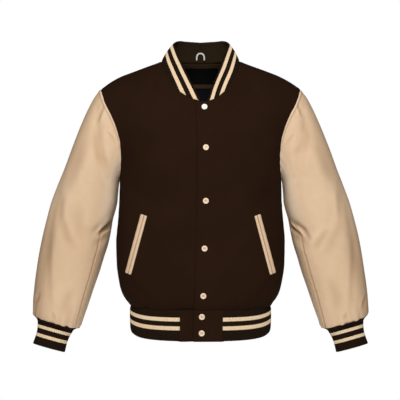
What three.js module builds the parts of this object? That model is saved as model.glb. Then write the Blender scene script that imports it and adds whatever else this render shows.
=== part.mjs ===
// A varsity jacket, buttoned up and filled out as if worn: wool melton body, leather sleeves set in
// at the armholes, rib-knit collar, cuffs and hem band, two welt pockets and a row of snaps.
// Millimetres, +Z up. The front faces -Y and the wearer's left is +X. The origin is between the two
// points where the collar meets the shoulder seams, which is where the wearer carries the weight.
import * as THREE from "three";

// Cloth thicknesses and the clearance kept wherever two pieces meet.
const WOOL = 2.4;
const LEATHER = 1.6;
const RIB = 3.6;
const TAB = 3.0;
const LINING = 1.0;
const SEAM_GAP = 0.3;
const VALLEY_FROM = 0.2;
const VALLEY_TO = 0.7;
const LAID_ON = 0.6;

// Heights of the body's main lines.
const ARMPIT_Z = -285;
const HEM_SEAM_Z = -594.5;
const HEM_BOTTOM_Z = -664.5;

// The neck opening: the point where the shoulder seam meets the collar, and its depth front and back.
const NECK_HALF = 94;
const NECK_DROP = 111.5;
const NECK_POWER = 1.7;
const NECK_BACK_Z = 5.4;
const NECK_BACK_POWER = 3;

// The shoulder seam falls along a straight slope, and rounds over towards its tip.
const SHOULDER_SLOPE = 0.375;
const SHOULDER_TIP_X = 243;
const SHOULDER_ROUND_X = 180;
const SHOULDER_ROUND_DROP = 13.6;
const RIDGE_ROUND_X = 30;

// Rings of the body seen from above are superellipses; rows close up towards the shoulder seam.
const PLAN_POWER = 2.4;
const ROW_CLOSING = 1.6;
const TOP_LEVEL = 1.995;
const BODY_RINGS = [
  { z: -664.5, half: 169, front: 119, back: 110 },
  { z: -594.5, half: 170, front: 121, back: 112 },
  { z: -588, half: 174, front: 125, back: 116 },
  { z: -577, half: 183, front: 131, back: 121 },
  { z: -562, half: 191, front: 135, back: 124 },
  { z: -535, half: 198, front: 137, back: 125 },
  { z: -490, half: 204, front: 137, back: 123 },
  { z: -440, half: 205, front: 134, back: 119 },
  { z: -390, half: 201, front: 131, back: 117 },
  { z: -340, half: 197.5, front: 131, back: 121 },
  { z: -285, half: 196, front: 135, back: 128 },
];
const SIDES = {
  front: { sign: -1, depth: 135, armholeDepth: 66, fallPower: 1.6 },
  back: { sign: 1, depth: 128, armholeDepth: 72, fallPower: 3 },
};

// How far out the armhole seam lies, from the armpit (0) to the shoulder tip (1).
const ARMHOLE_REACH = [
  { share: 0, front: 196, back: 196 },
  { share: 0.08, front: 192, back: 193 },
  { share: 0.2, front: 189.5, back: 192 },
  { share: 0.33, front: 191, back: 195 },
  { share: 0.47, front: 199, back: 203 },
  { share: 0.65, front: 215, back: 217 },
  { share: 0.77, front: 227, back: 228 },
  { share: 1, front: SHOULDER_TIP_X, back: SHOULDER_TIP_X },
];

// The closure: the left front laps over the right one, and the line of snaps leans a little.
const OVERLAP = 18;
const UNDERLAP = 20;
const UNDER_GAP = 1;
const RECESS_FROM = 40;
const RECESS_TO = 75;
const CLOSURE_LEAN = [
  { z: -665, x: 2.5 },
  { z: -609, x: 3.2 },
  { z: -559, x: 6.5 },
  { z: -450, x: 9.3 },
  { z: -340, x: 12.3 },
  { z: -216, x: 12.5 },
  { z: -121, x: 9.3 },
  { z: -60, x: 5 },
  { z: 0, x: 1 },
  { z: 60, x: 0 },
];
const LEAN_WIDTH = 70;
const LEAN_DEPTH = 60;

// Rings of a sleeve from the armhole to the cuff seam: its outer and inner edges seen from the front,
// half its depth, and how far its centre lies behind the body's middle plane.
const SLEEVE_RINGS = [
  { place: 0, outX: 243, outZ: -69.5, inX: 196, inZ: -285, depth: 69, y: 3 },
  { place: 1, outX: 257, outZ: -87, inX: 199.5, inZ: -296, depth: 71, y: 3 },
  { place: 2, outX: 274, outZ: -118, inX: 201, inZ: -308, depth: 74, y: 4 },
  { place: 3, outX: 293, outZ: -160, inX: 202, inZ: -319, depth: 76, y: 5 },
  { place: 4, outX: 313, outZ: -210, inX: 203, inZ: -330, depth: 77, y: 6 },
  { place: 5, outX: 333, outZ: -264, inX: 204, inZ: -343, depth: 77, y: 7 },
  { place: 6, outX: 350, outZ: -306, inX: 208, inZ: -361, depth: 76, y: 7 },
  { place: 7, outX: 364, outZ: -344, inX: 215, inZ: -385, depth: 75, y: 6 },
  { place: 8, outX: 375, outZ: -385, inX: 220, inZ: -415, depth: 74, y: 4 },
  { place: 9, outX: 384, outZ: -425, inX: 226, inZ: -445, depth: 73, y: 0 },
  { place: 10, outX: 391, outZ: -465, inX: 236, inZ: -478, depth: 72, y: -5 },
  { place: 11, outX: 396, outZ: -502, inX: 246, inZ: -513, depth: 70, y: -11 },
  { place: 12, outX: 400.5, outZ: -541.5, inX: 259, inZ: -551.5, depth: 68, y: -18 },
  { place: 13, outX: 403, outZ: -577.5, inX: 272, inZ: -591.5, depth: 65, y: -24 },
  { place: 14, outX: 403, outZ: -600, inX: 282, inZ: -620.5, depth: 62, y: -28 },
  { place: 15, outX: 401, outZ: -613, inX: 290.5, inZ: -644.5, depth: 57, y: -30 },
];
const SLEEVE_END = 15;
const CAP_BLEND = 4.5;
const ARMPIT_BLEND = 1.3;
const FOLDS_START = 0.8;
const DEGREES_PER_PLACE = 30;
const FOLD_FADE_FROM = -0.15;
const FOLD_FADE_TO = 0.35;

// The largest folds of a sleeve: soft troughs from one place to another. turn is the angle round the
// sleeve in degrees, 0 next to the body, 90 in front and 180 outside; place counts the rings above.
const SLEEVE_FOLDS = [
  { turnA: 127, placeA: 1.6, turnB: 60, placeB: 3.4, width: 15, depth: 5 },
  { turnA: 140, placeA: 0.8, turnB: 118, placeB: 2.2, width: 10, depth: 3 },
  { turnA: 0, placeA: 7.1, turnB: 62, placeB: 8.4, width: 12, depth: 8 },
  { turnA: 8, placeA: 8.2, turnB: 48, placeB: 9.2, width: 10, depth: 4 },
  { turnA: 152, placeA: 5.2, turnB: 136, placeB: 11.5, width: 15, depth: 4.5 },
  { turnA: 118, placeA: 6.8, turnB: 80, placeB: 9.6, width: 18, depth: 4 },
  { turnA: 215, placeA: 3.5, turnB: 250, placeB: 7.5, width: 16, depth: 5 },
  { turnA: 300, placeA: 7.0, turnB: 255, placeB: 8.8, width: 14, depth: 6 },
];

// Rings of a cuff, by their distance down from the seam.
const CUFF_RINGS = [
  { down: 0.35, half: 56.8, depth: 56.4 },
  { down: 13, half: 43, depth: 43.5 },
  { down: 42, half: 37.5, depth: 38.5 },
  { down: 65, half: 38.5, depth: 39 },
];
const CUFF_FORWARD = -0.06;

// The folded top edge of the collar, from its front end (0) to the middle of the back (1).
const COLLAR_EDGE = [
  { share: 0, x: 11, y: -104, z: -107 },
  { share: 0.12, x: 21, y: -88, z: -79 },
  { share: 0.24, x: 32, y: -69, z: -48 },
  { share: 0.36, x: 44, y: -48, z: -16 },
  { share: 0.48, x: 54, y: -22, z: 18 },
  { share: 0.58, x: 60, y: 1, z: 41 },
  { share: 0.7, x: 57, y: 25, z: 50 },
  { share: 0.84, x: 36, y: 43, z: 54 },
  { share: 1, x: 0, y: 50, z: 56 },
];
const COLLAR_END_X = 11;
const COLLAR_BULGE = 2.5;
const COLLAR_TAPER = 0.15;
const COLLAR_FORWARD = 10;
const COLLAR_UPWARD = 0.5;
const COLLAR_ROWS_UP = [0, 0.06, 0.45, 1];
const NECK_GAP = 1.2;

// Ribs of the knit: their spacing along the cloth and how far each stands out.
const RIB_PITCH = 4.5;
const RIB_HEIGHT = 0.9;

// The hem band's plain wool ends, the pockets, the snaps and the pieces inside the neck.
const TAB_HALF = 49;
const TAB_RECESS_FROM = 24;
const TAB_RECESS_TO = 38;
const POCKET_TOP = { x: 131, z: -375 };
const POCKET_BOTTOM = { x: 168, z: -510 };
const POCKET_LIPS = [
  { name: "outer", from: 0.6, to: 9.6 },
  { name: "inner", from: -6, to: 0 },
];
const POCKET_HEIGHT = 2;
const POCKET_FORESHORTENING = 0.85;
const SNAPS = [
  { name: "front_1", z: -121 },
  { name: "front_2", z: -216.5 },
  { name: "front_3", z: -340 },
  { name: "front_4", z: -450 },
  { name: "front_5", z: -559 },
  { name: "hem_1", z: -609 },
  { name: "hem_2", z: -647 },
];
const SNAP_RADIUS = 7.7;
const SNAP_HEIGHT = 3;
const SNAP_BASE = 0.9;
const SNAP_SIDES = 16;
const SNAP_PROFILE = [
  { out: 0, up: 0 },
  { out: SNAP_BASE, up: 0 },
  { out: 1, up: 0.45 },
  { out: 0.72, up: 1 },
  { out: 0.45, up: 0.7 },
  { out: 0, up: 0.62 },
];
const FACING_ROWS = 3;
const FACING_TOP = 0.8;
const LABEL_DROP = 0.35;
const LOOP_HALF = 9;
const LOOP_HEIGHT = 21;
const LOOP_WIDTH = 4;
const LOOP_THICK = 1.4;
const LOOP_FOOT = 2;
const LOOP_POWER = 0.75;
const LOOP_CURVE = 34;

// How finely each piece is divided.
const LOWER_LEVELS = [-594.5, -588, -580, -569, -552, -525, -485, -440, -390, -340, -285];
const ARMHOLE_STEPS = 12;
const EDGE_STEPS = 5;
const FRONT_COLUMNS = 10;
const NECK_COLUMNS_X = [38, 78, NECK_HALF];
const SHOULDER_COLUMNS = 7;
const SLEEVE_ROWS = 18;
const FRONT_SEAM_STEP = 3;
const BACK_SEAM_STEP = 4;
const INNER_EVERY = 4;

const COLOURS = {
  wool: { color: 0x2a1a12, roughness: 0.95 },
  leather: { color: 0xd9b994, roughness: 0.5 },
  rib: { color: 0x1d1611, roughness: 0.9 },
  satin: { color: 0x0c0c12, roughness: 0.35 },
  loop: { color: 0xd8d5cf, roughness: 0.5 },
  snap: { color: 0xf2ddc0, roughness: 0.3 },
};

const mix = (a, b, t) => a + (b - a) * t;
const clamp = (t) => Math.min(1, Math.max(0, t));
const smooth = (from, to, at) => {
  const t = clamp((at - from) / (to - from));
  return t * t * (3 - 2 * t);
};

// A table read as one monotone cubic curve for each column, along its key column.
function curves(rows, key) {
  const last = rows.length - 1;
  const rise = (i, column) => (rows[i + 1][column] - rows[i][column]) / (rows[i + 1][key] - rows[i][key]);
  const slope = (i, column) => {
    if (i === 0) return rise(0, column);
    if (i === last) return rise(last - 1, column);
    const before = rise(i - 1, column);
    const after = rise(i, column);
    return before * after <= 0 ? 0 : (2 * before * after) / (before + after);
  };
  return (at, column) => {
    const place = Math.min(Math.max(at, rows[0][key]), rows[last][key]);
    let i = 0;
    while (i < last - 1 && place > rows[i + 1][key]) i += 1;
    const step = rows[i + 1][key] - rows[i][key];
    const t = (place - rows[i][key]) / step;
    const start = rows[i][column] * (1 + 2 * t) * (1 - t) ** 2 + slope(i, column) * step * t * (1 - t) ** 2;
    const end = rows[i + 1][column] * (3 - 2 * t) * t ** 2 + slope(i + 1, column) * step * (t - 1) * t ** 2;
    return start + end;
  };
}

const ring = curves(BODY_RINGS, "z");
const reach = curves(ARMHOLE_REACH, "share");
const lean = curves(CLOSURE_LEAN, "z");
const sleeveRing = curves(SLEEVE_RINGS, "place");
const collarEdge = curves(COLLAR_EDGE, "share");

// The line of the shoulder seam, and of the ridge that it would make above the neck opening.
function shoulderZ(x) {
  const away = Math.abs(x);
  const run = away < RIDGE_ROUND_X ? (away ** 2 / RIDGE_ROUND_X + RIDGE_ROUND_X) / 2 : away;
  const round = Math.max(0, away - SHOULDER_ROUND_X) / (SHOULDER_TIP_X - SHOULDER_ROUND_X);
  return -SHOULDER_SLOPE * (run - NECK_HALF) - SHOULDER_ROUND_DROP * round ** 2;
}

// Depth of a superellipse ring where its width is s of the full half width.
const planDepth = (s) => Math.max(0, 1 - Math.abs(s) ** PLAN_POWER) ** (1 / PLAN_POWER);

// Above the armpit: share runs from 0 there to 1 at the shoulder seam, and the body is as deep as
// fall() says. The armhole seam is half an ellipse deep, so its turn round the ring follows.
function fall(side, share) {
  return Math.sqrt(Math.max(0, 1 - share ** side.fallPower));
}
function armholeTurn(side, share) {
  const closing = share < 1 ? (1 - share ** side.fallPower) / (1 - share) : side.fallPower;
  const deep = (2 * side.armholeDepth * Math.sqrt(share)) / (side.depth * Math.sqrt(closing));
  return Math.asin(Math.max(0, 1 - deep ** PLAN_POWER) ** (1 / PLAN_POWER));
}
function ringReach(side, share) {
  const column = side.sign < 0 ? "front" : "back";
  return reach(share, column) / Math.sin(armholeTurn(side, share));
}

// A point of the body. turn is the angle round the ring from the middle of that side. level runs from
// 0 at the hem seam to 1 at the armpit, and from there to 2 at the shoulder seam.
function bodyPoint(side, turn, level) {
  const s = Math.sin(turn);
  if (level <= 1) {
    const z = mix(HEM_SEAM_Z, ARMPIT_Z, level);
    const depth = ring(z, side.sign < 0 ? "front" : "back");
    return new THREE.Vector3(ring(z, "half") * s, side.sign * depth * planDepth(s), z);
  }
  const share = 1 - (2 - level) ** ROW_CLOSING;
  const x = ringReach(side, share) * s;
  const y = side.sign * side.depth * fall(side, share) * planDepth(s);
  return new THREE.Vector3(x, y, mix(ARMPIT_Z, shoulderZ(x), share));
}

// Where on the body a place of the front view lies, as a turn and a level.
function bodyPlace(side, x, z) {
  if (z <= ARMPIT_Z) {
    return { turn: Math.asin(x / ring(z, "half")), level: (z - HEM_SEAM_Z) / (ARMPIT_Z - HEM_SEAM_Z) };
  }
  const share = clamp((z - ARMPIT_Z) / (shoulderZ(x) - ARMPIT_Z));
  return { turn: Math.asin(x / ringReach(side, share)), level: 2 - (1 - share) ** (1 / ROW_CLOSING) };
}

function bodyNormal(side, turn, level) {
  const du = 0.01;
  const across = bodyPoint(side, turn + du, level).sub(bodyPoint(side, turn - du, level));
  const above = bodyPoint(side, turn, Math.min(level + du, TOP_LEVEL));
  const up = above.sub(bodyPoint(side, turn, Math.min(level, TOP_LEVEL) - du));
  return across.cross(up).multiplyScalar(-side.sign).normalize();
}

// A point at a place of the front view, moved out from the body's outer face (in, if negative).
function onBody(side, x, z, out) {
  const { turn, level } = bodyPlace(side, x, z);
  return bodyPoint(side, turn, level).addScaledVector(bodyNormal(side, turn, level), out);
}

// The neckline, seen from the front: a rounded U, and an almost level line at the back.
function neckZ(x) {
  const deep = Math.max(0, 1 - (Math.abs(x) / NECK_HALF) ** NECK_POWER);
  return -NECK_DROP * deep ** (1 / NECK_POWER);
}
function backNeckLevel(x) {
  const z = NECK_BACK_Z * (1 - Math.abs(x / NECK_HALF) ** NECK_BACK_POWER);
  const share = (z - ARMPIT_Z) / (shoulderZ(x) - ARMPIT_Z);
  return 2 - (1 - Math.min(1, share)) ** (1 / ROW_CLOSING);
}

// The under front sinks by its neighbour's thickness near the closure.
const recess = (x) => (WOOL + UNDER_GAP) * (1 - smooth(RECESS_FROM, RECESS_TO, x));

// The whole front leans with the line of snaps; every point of every piece goes through this.
function leaned(p) {
  const near = Math.exp(-((p.x / LEAN_WIDTH) ** 2)) * clamp(-p.y / LEAN_DEPTH);
  return new THREE.Vector3(p.x + lean(p.z, "x") * near, p.y, p.z);
}

// Outward normals of a grid of points, from its neighbours.
function gridNormals(grid, closed = false) {
  const rows = grid.length;
  const columns = grid[0].length;
  const held = (c) => Math.min(columns - 1, Math.max(0, c));
  const column = (row, c) => (closed ? row[(c + columns) % columns] : row[held(c)]);
  return grid.map((row, r) =>
    row.map((_, c) => {
      const across = column(row, c + 1).clone().sub(column(row, c - 1));
      const up = grid[Math.min(rows - 1, r + 1)][c].clone().sub(grid[Math.max(0, r - 1)][c]);
      return across.cross(up).normalize();
    }),
  );
}

// The same grid a distance along its normals.
const moved = (grid, normals, out) =>
  grid.map((row, r) => row.map((p, c) => p.clone().addScaledVector(normals[r][c], out)));

// Draws a grid's edges in, so that it stays clear of the pieces sewn to it.
function trimmed(grid, gap = SEAM_GAP / 2) {
  const towards = (p, q) => q.clone().sub(p).setLength(gap);
  const last = grid.length - 1;
  return grid.map((row, r) => {
    const end = row.length - 1;
    return row.map((p, c) => {
      const q = p.clone();
      if (c === 0) q.add(towards(p, row[1]));
      if (c === end) q.add(towards(p, row[end - 1]));
      if (r === 0) q.add(towards(p, grid[1][c]));
      if (r === last) q.add(towards(p, grid[last - 1][c]));
      return q;
    });
  });
}

// A closed wall between an outer grid and an inner one. The inner grid has as many rows, and the
// same or fewer columns; closed walls run all round and have no side edges.
function wall(outer, inner, closed = false) {
  const positions = [];
  const add = (p) => positions.push(...leaned(p).toArray());
  const triangle = (a, b, c) => [a, b, c].forEach(add);
  // Both faces of a wall are split along the same diagonal, so pieces made from the same grid nest.
  const sheet = (grid, flip) => {
    for (let r = 0; r + 1 < grid.length; r += 1) {
      const columns = grid[r].length;
      for (let c = 0; c < (closed ? columns : columns - 1); c += 1) {
        const d = (c + 1) % columns;
        const [p, q, s, t] = [grid[r][c], grid[r][d], grid[r + 1][d], grid[r + 1][c]];
        triangle(p, ...(flip ? [s, q] : [q, s]));
        triangle(p, ...(flip ? [t, s] : [s, t]));
      }
    }
  };
  // The edge of a wall is split so that it hollows in, clear of the piece beside it.
  const edgeFace = (quad) => {
    const volume = (a, b, c) => a.dot(b.clone().cross(c));
    const [a, b, c, d] = quad;
    if (volume(a, b, c) + volume(a, c, d) < volume(a, b, d) + volume(b, c, d)) {
      triangle(a, b, c);
      triangle(a, c, d);
    } else {
      triangle(a, b, d);
      triangle(b, c, d);
    }
  };
  const rim = (out, into, flip) => {
    const outSteps = closed ? out.length : out.length - 1;
    const inSteps = closed ? into.length : into.length - 1;
    const per = outSteps / inSteps;
    const face = (a, b, c) => (flip ? triangle(a, c, b) : triangle(a, b, c));
    for (let i = 0; i < inSteps; i += 1) {
      if (per === 1) {
        const quad = [out[i], into[i], into[(i + 1) % into.length], out[(i + 1) % out.length]];
        edgeFace(flip ? quad.reverse() : quad);
        continue;
      }
      for (let k = 0; k < per; k += 1) {
        face(out[i * per + k], into[i], out[(i * per + k + 1) % out.length]);
      }
      face(out[((i + 1) * per) % out.length], into[i], into[(i + 1) % into.length]);
    }
  };
  const side = (out, into, flip) => {
    for (let r = 0; r + 1 < out.length; r += 1) {
      const quad = [out[r], out[r + 1], into[r + 1], into[r]];
      edgeFace(flip ? quad.reverse() : quad);
    }
  };
  sheet(outer, false);
  sheet(inner, true);
  rim(outer[0], inner[0], false);
  rim(outer[outer.length - 1], inner[inner.length - 1], true);
  if (!closed) {
    side(outer.map((row) => row[0]), inner.map((row) => row[0]), false);
    side(outer.map((row) => row[row.length - 1]), inner.map((row) => row[row.length - 1]), true);
  }
  return new THREE.BufferGeometry().setAttribute("position", new THREE.Float32BufferAttribute(positions, 3));
}

// Mirrors a grid to the other side of the body, keeping its faces outwards.
function mirrored(grid, closed = false) {
  return grid.map((row) => {
    const flipped = row.map((p) => new THREE.Vector3(-p.x, p.y, p.z)).reverse();
    return closed ? [flipped.pop(), ...flipped] : flipped;
  });
}

// Front panel of the wearer's left, from its front edge to the side seam and the armhole.
function frontGrid(edgeX, under) {
  const side = SIDES.front;
  const rows = LOWER_LEVELS.map((z) => {
    const start = bodyPlace(side, edgeX, z);
    return { start, end: { turn: Math.PI / 2, level: start.level } };
  });
  for (let k = 1; k <= ARMHOLE_STEPS; k += 1) {
    const share = (1 - Math.cos((k * Math.PI) / ARMHOLE_STEPS)) / 2;
    const level = 2 - (1 - share) ** (1 / ROW_CLOSING);
    const along = (k - EDGE_STEPS) / (ARMHOLE_STEPS - EDGE_STEPS);
    const x = k <= EDGE_STEPS ? edgeX : mix(edgeX, NECK_HALF, Math.sin((along * Math.PI) / 2));
    const z = k <= EDGE_STEPS ? mix(ARMPIT_Z, neckZ(edgeX), k / EDGE_STEPS) : neckZ(x);
    rows.push({ start: bodyPlace(side, x, z), end: { turn: armholeTurn(side, share), level } });
  }
  return rows.map(({ start, end }) => {
    const row = [];
    for (let c = 0; c <= FRONT_COLUMNS; c += 1) {
      const turn = mix(start.turn, end.turn, c / FRONT_COLUMNS);
      const level = mix(start.level, end.level, c / FRONT_COLUMNS);
      const p = bodyPoint(side, turn, level);
      if (under) p.addScaledVector(bodyNormal(side, turn, level), -recess(p.x));
      row.push(p);
    }
    return row;
  });
}

// Back panel, from side seam to side seam, up to the shoulder seams and the back neckline.
function backGrid() {
  const side = SIDES.back;
  const top = armholeTurn(side, 1);
  const half = NECK_COLUMNS_X.map((x) => Math.asin(x / ringReach(side, 1)) / top);
  const neckShare = half[half.length - 1];
  for (let c = 1; c <= SHOULDER_COLUMNS; c += 1) half.push(mix(neckShare, 1, c / SHOULDER_COLUMNS));
  const shares = [...half.map((s) => -s).reverse(), 0, ...half];
  const rows = LOWER_LEVELS.map((z) => {
    const level = (z - HEM_SEAM_Z) / (ARMPIT_Z - HEM_SEAM_Z);
    return shares.map((s) => bodyPoint(side, (s * Math.PI) / 2, level));
  });
  for (let k = 1; k <= ARMHOLE_STEPS; k += 1) {
    const share = (1 - Math.cos((k * Math.PI) / ARMHOLE_STEPS)) / 2;
    const climb = 1 - (1 - share) ** (1 / ROW_CLOSING);
    rows.push(
      shares.map((s) => {
        const x = ringReach(side, 1) * Math.sin(s * top);
        const highest = Math.abs(s) < neckShare ? backNeckLevel(x) - 1 : 1;
        return bodyPoint(side, s * armholeTurn(side, share), 1 + climb * highest);
      }),
    );
  }
  return rows.map((row) => row.reverse());
}

// A point of the left armhole seam: step 0 at the armpit, up the front and down the back.
function armholePoint(step) {
  const side = step <= ARMHOLE_STEPS ? SIDES.front : SIDES.back;
  const share = (1 - Math.cos((step * Math.PI) / ARMHOLE_STEPS)) / 2;
  return bodyPoint(side, armholeTurn(side, share), 2 - (1 - share) ** (1 / ROW_CLOSING));
}

// A ring of the left sleeve, as an ellipse on its outer and inner edges.
function sleeveEllipse(place, turn) {
  const at = (column) => sleeveRing(place, column);
  const outer = new THREE.Vector3(at("outX"), at("y"), at("outZ"));
  const inner = new THREE.Vector3(at("inX"), at("y"), at("inZ"));
  const p = inner.lerp(outer, (1 - Math.cos(turn)) / 2);
  p.y -= at("depth") * Math.sin(turn);
  return p;
}

// How far the folds draw the sleeve in at one place.
function foldDepth(turn, place) {
  const degrees = THREE.MathUtils.radToDeg(turn);
  return SLEEVE_FOLDS.reduce((sum, fold) => {
    const around = fold.turnB - fold.turnA;
    const down = (fold.placeB - fold.placeA) * DEGREES_PER_PLACE;
    const length = Math.hypot(around, down);
    const a = degrees - fold.turnA;
    const d = (place - fold.placeA) * DEGREES_PER_PLACE;
    const along = (a * around + d * down) / length ** 2;
    const off = (a * down - d * around) / length;
    const fade = (from) => smooth(FOLD_FADE_FROM, FOLD_FADE_TO, from);
    return sum + fold.depth * fade(along) * fade(1 - along) * Math.exp(-((off / fold.width) ** 2));
  }, 0);
}

// A point of the left sleeve: it leaves the armhole seam exactly, and becomes the ellipse.
function sleevePoint(step, place) {
  const start = armholePoint(step);
  const inner = sleeveEllipse(0, 0);
  const chord = sleeveEllipse(0, Math.PI).sub(inner);
  const share = clamp(start.clone().sub(inner).dot(chord) / chord.lengthSq());
  const half = Math.acos(1 - 2 * share);
  const turn = step <= ARMHOLE_STEPS ? half : 2 * Math.PI - half;
  const centre = sleeveEllipse(place, 0).lerp(sleeveEllipse(place, Math.PI), 0.5);
  const p = sleeveEllipse(place, turn);
  const stray = start.sub(sleeveEllipse(0, turn));
  p.addScaledVector(stray, 1 - smooth(0, mix(ARMPIT_BLEND, CAP_BLEND, clamp(3 * share)), place));
  const inward = centre.sub(p).normalize();
  return p.addScaledVector(inward, foldDepth(turn, place) * smooth(0, FOLDS_START, place));
}

// The whole left sleeve as one closed grid, before it is parted at its two seams.
function sleeveGrid() {
  const rows = [];
  for (let r = SLEEVE_ROWS; r >= 0; r -= 1) {
    const place = (r * SLEEVE_END) / SLEEVE_ROWS;
    const row = [];
    for (let step = 0; step < 2 * ARMHOLE_STEPS; step += 1) row.push(sleevePoint(step, place));
    rows.push(row);
  }
  return rows;
}

// Shares the direction of the wall's edge between two pieces that meet at a ridge, so that their
// inner faces don't run into each other. In a valley they part by themselves. across leads from a
// piece to the other one.
function shareNormals(own, other, across) {
  const ridge = other.clone().sub(own).dot(across) > 0;
  const share = ridge ? 1 : smooth(VALLEY_FROM, VALLEY_TO, own.dot(other));
  return own.clone().addScaledVector(other, share).normalize();
}

// Two panels that meet in the plane of the side seams both keep their walls' edges in that plane.
const flattened = (n) => n.setY(0).normalize();

// Raises every second point of a grid's columns into a rib, from the given row on.
const ribbed = (grid, normals, from = 0) =>
  grid.map((row, r) =>
    row.map((p, c) => p.clone().addScaledVector(normals[r][c], c % 2 && r >= from ? RIB_HEIGHT : 0)),
  );
const everyNth = (grid, n) => grid.map((row) => row.filter((_, c) => c % n === 0));

// Places along a line of points, evenly spaced by length.
function evenly(line, count) {
  const reached = [0];
  line.slice(1).forEach((p, i) => reached.push(reached[i] + p.distanceTo(line[i])));
  const total = reached[reached.length - 1];
  const places = [];
  let i = 0;
  for (let k = 0; k <= count; k += 1) {
    const want = (total * k) / count;
    while (i < line.length - 2 && reached[i + 1] < want) i += 1;
    const share = clamp((want - reached[i]) / (reached[i + 1] - reached[i]));
    places.push(line[i].clone().lerp(line[i + 1], share));
  }
  return { places, total };
}

// The number of columns for a ribbed piece of a given length: two for each rib, in whole groups.
const ribColumns = (length) => 2 * INNER_EVERY * Math.round(length / RIB_PITCH / INNER_EVERY);

// The hem band's ring: turn 0 in the middle of the front and a half turn at the back.
function hemPoint(turn, z) {
  const s = Math.sin(turn);
  const front = Math.cos(turn) > 0;
  const depth = ring(z, front ? "front" : "back");
  return new THREE.Vector3(ring(z, "half") * s, (front ? -1 : 1) * depth * planDepth(s), z);
}

function hemBand() {
  const start = Math.asin(TAB_HALF / ring(HEM_SEAM_Z, "half"));
  const line = [];
  const samples = 720;
  for (let i = 0; i <= samples; i += 1) {
    line.push(hemPoint(mix(start, 2 * Math.PI - start, i / samples), HEM_SEAM_Z));
  }
  const { total } = evenly(line, 1);
  const { places } = evenly(line, ribColumns(total));
  const top = places.map((p) => p.clone());
  const scaleX = ring(HEM_BOTTOM_Z, "half") / ring(HEM_SEAM_Z, "half");
  const scaleY = ring(HEM_BOTTOM_Z, "front") / ring(HEM_SEAM_Z, "front");
  const bottom = places.map((p) => new THREE.Vector3(p.x * scaleX, p.y * scaleY, HEM_BOTTOM_Z));
  const grid = trimmed([bottom, top]);
  const normals = gridNormals(grid);
  const inner = everyNth(moved(grid, normals, -RIB), 2 * INNER_EVERY);
  return wall(ribbed(grid, normals), inner);
}

// One plain wool end of the hem band, on the wearer's left unless it lies under.
function hemTab(edgeX, under) {
  const columns = 6;
  const grid = [HEM_BOTTOM_Z, HEM_SEAM_Z].map((z) => {
    const row = [];
    for (let c = 0; c <= columns; c += 1) {
      const x = mix(edgeX, TAB_HALF, c / columns);
      const p = hemPoint(Math.asin(x / ring(HEM_SEAM_Z, "half")), z);
      if (under) p.y += (TAB + UNDER_GAP) * (1 - smooth(TAB_RECESS_FROM, TAB_RECESS_TO, x));
      row.push(p);
    }
    return row;
  });
  return trimmed(grid);
}

// The frame at the end of the left sleeve: its centre, across and down directions.
function cuffFrame() {
  const outer = sleeveEllipse(SLEEVE_END, Math.PI);
  const inner = sleeveEllipse(SLEEVE_END, 0);
  const centre = outer.clone().lerp(inner, 0.5);
  const across = outer.clone().sub(inner).normalize();
  const down = new THREE.Vector3(-across.z, CUFF_FORWARD, across.x).multiplyScalar(-1);
  down.y = CUFF_FORWARD;
  return { centre, across, down: down.normalize() };
}

function cuff() {
  const { centre, across, down } = cuffFrame();
  const columns = ribColumns(Math.PI * (CUFF_RINGS[2].half + CUFF_RINGS[2].depth));
  const ringAt = (row, count, drawnIn, rib) => {
    const points = [];
    for (let c = 0; c < count; c += 1) {
      const turn = (-2 * Math.PI * c) / count;
      const out = (c % 2 ? rib : 0) - drawnIn;
      const p = centre.clone().addScaledVector(down, row.down);
      p.addScaledVector(across, (row.half + out) * Math.cos(turn));
      p.y -= (row.depth + out) * Math.sin(turn);
      points.push(p);
    }
    return points;
  };
  const outer = [...CUFF_RINGS].reverse().map((row) => ringAt(row, columns, 0, RIB_HEIGHT));
  const inner = [...CUFF_RINGS].reverse().map((row) => ringAt(row, columns / (2 * INNER_EVERY), RIB, 0));
  return { outer, inner };
}

// Half of the neck seam, from the collar's front end to the middle of the back: it follows the
// points of the front panel and of the back.
function neckSeam(front, back) {
  const lower = LOWER_LEVELS.length - 1;
  const line = front.slice(lower + EDGE_STEPS).map((row) => row[0].clone());
  const cut = (COLLAR_END_X - line[0].x) / (line[1].x - line[0].x);
  line[0].lerp(line[1], cut);
  const top = back[back.length - 1];
  const middle = (top.length - 1) / 2;
  const first = middle - NECK_COLUMNS_X.length;
  for (let c = first + 1; c <= middle; c += 1) line.push(top[c].clone());
  return line;
}

// A point of the collar: share from the front end to the middle of the back, up from seam to fold.
function collarPoint(seam, share, up) {
  const edge = new THREE.Vector3(collarEdge(share, "x"), collarEdge(share, "y"), collarEdge(share, "z"));
  const p = seam.clone().lerp(edge, up);
  const out = new THREE.Vector3(seam.x, seam.y + COLLAR_FORWARD, 0).normalize();
  out.setZ(COLLAR_UPWARD).normalize();
  return p.addScaledVector(out, COLLAR_BULGE * 4 * up * (1 - up) * smooth(0, COLLAR_TAPER, share));
}

function collarGrid(panels) {
  const left = neckSeam(panels.left, panels.back);
  const right = neckSeam(panels.right, panels.back);
  const { total } = evenly(left, 1);
  const halfColumns = ribColumns(total);
  const leftPlaces = evenly(left, halfColumns).places;
  const rightPlaces = evenly(right, halfColumns).places;
  const rowAt = (places, up) => places.map((p, c) => collarPoint(p, c / halfColumns, up));
  const half = (places) => COLLAR_ROWS_UP.map((up) => rowAt(places, up));
  const leftHalf = half(leftPlaces);
  const rightHalf = half(rightPlaces).map((row) => row.map((p) => new THREE.Vector3(-p.x, p.y, p.z)));
  const grid = leftHalf.map((row, r) => [...row, ...rightHalf[r].slice(0, -1).reverse()]);
  return { grid: trimmed(grid, NECK_GAP), backSeam: leftPlaces[halfColumns], halfLength: total };
}

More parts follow.
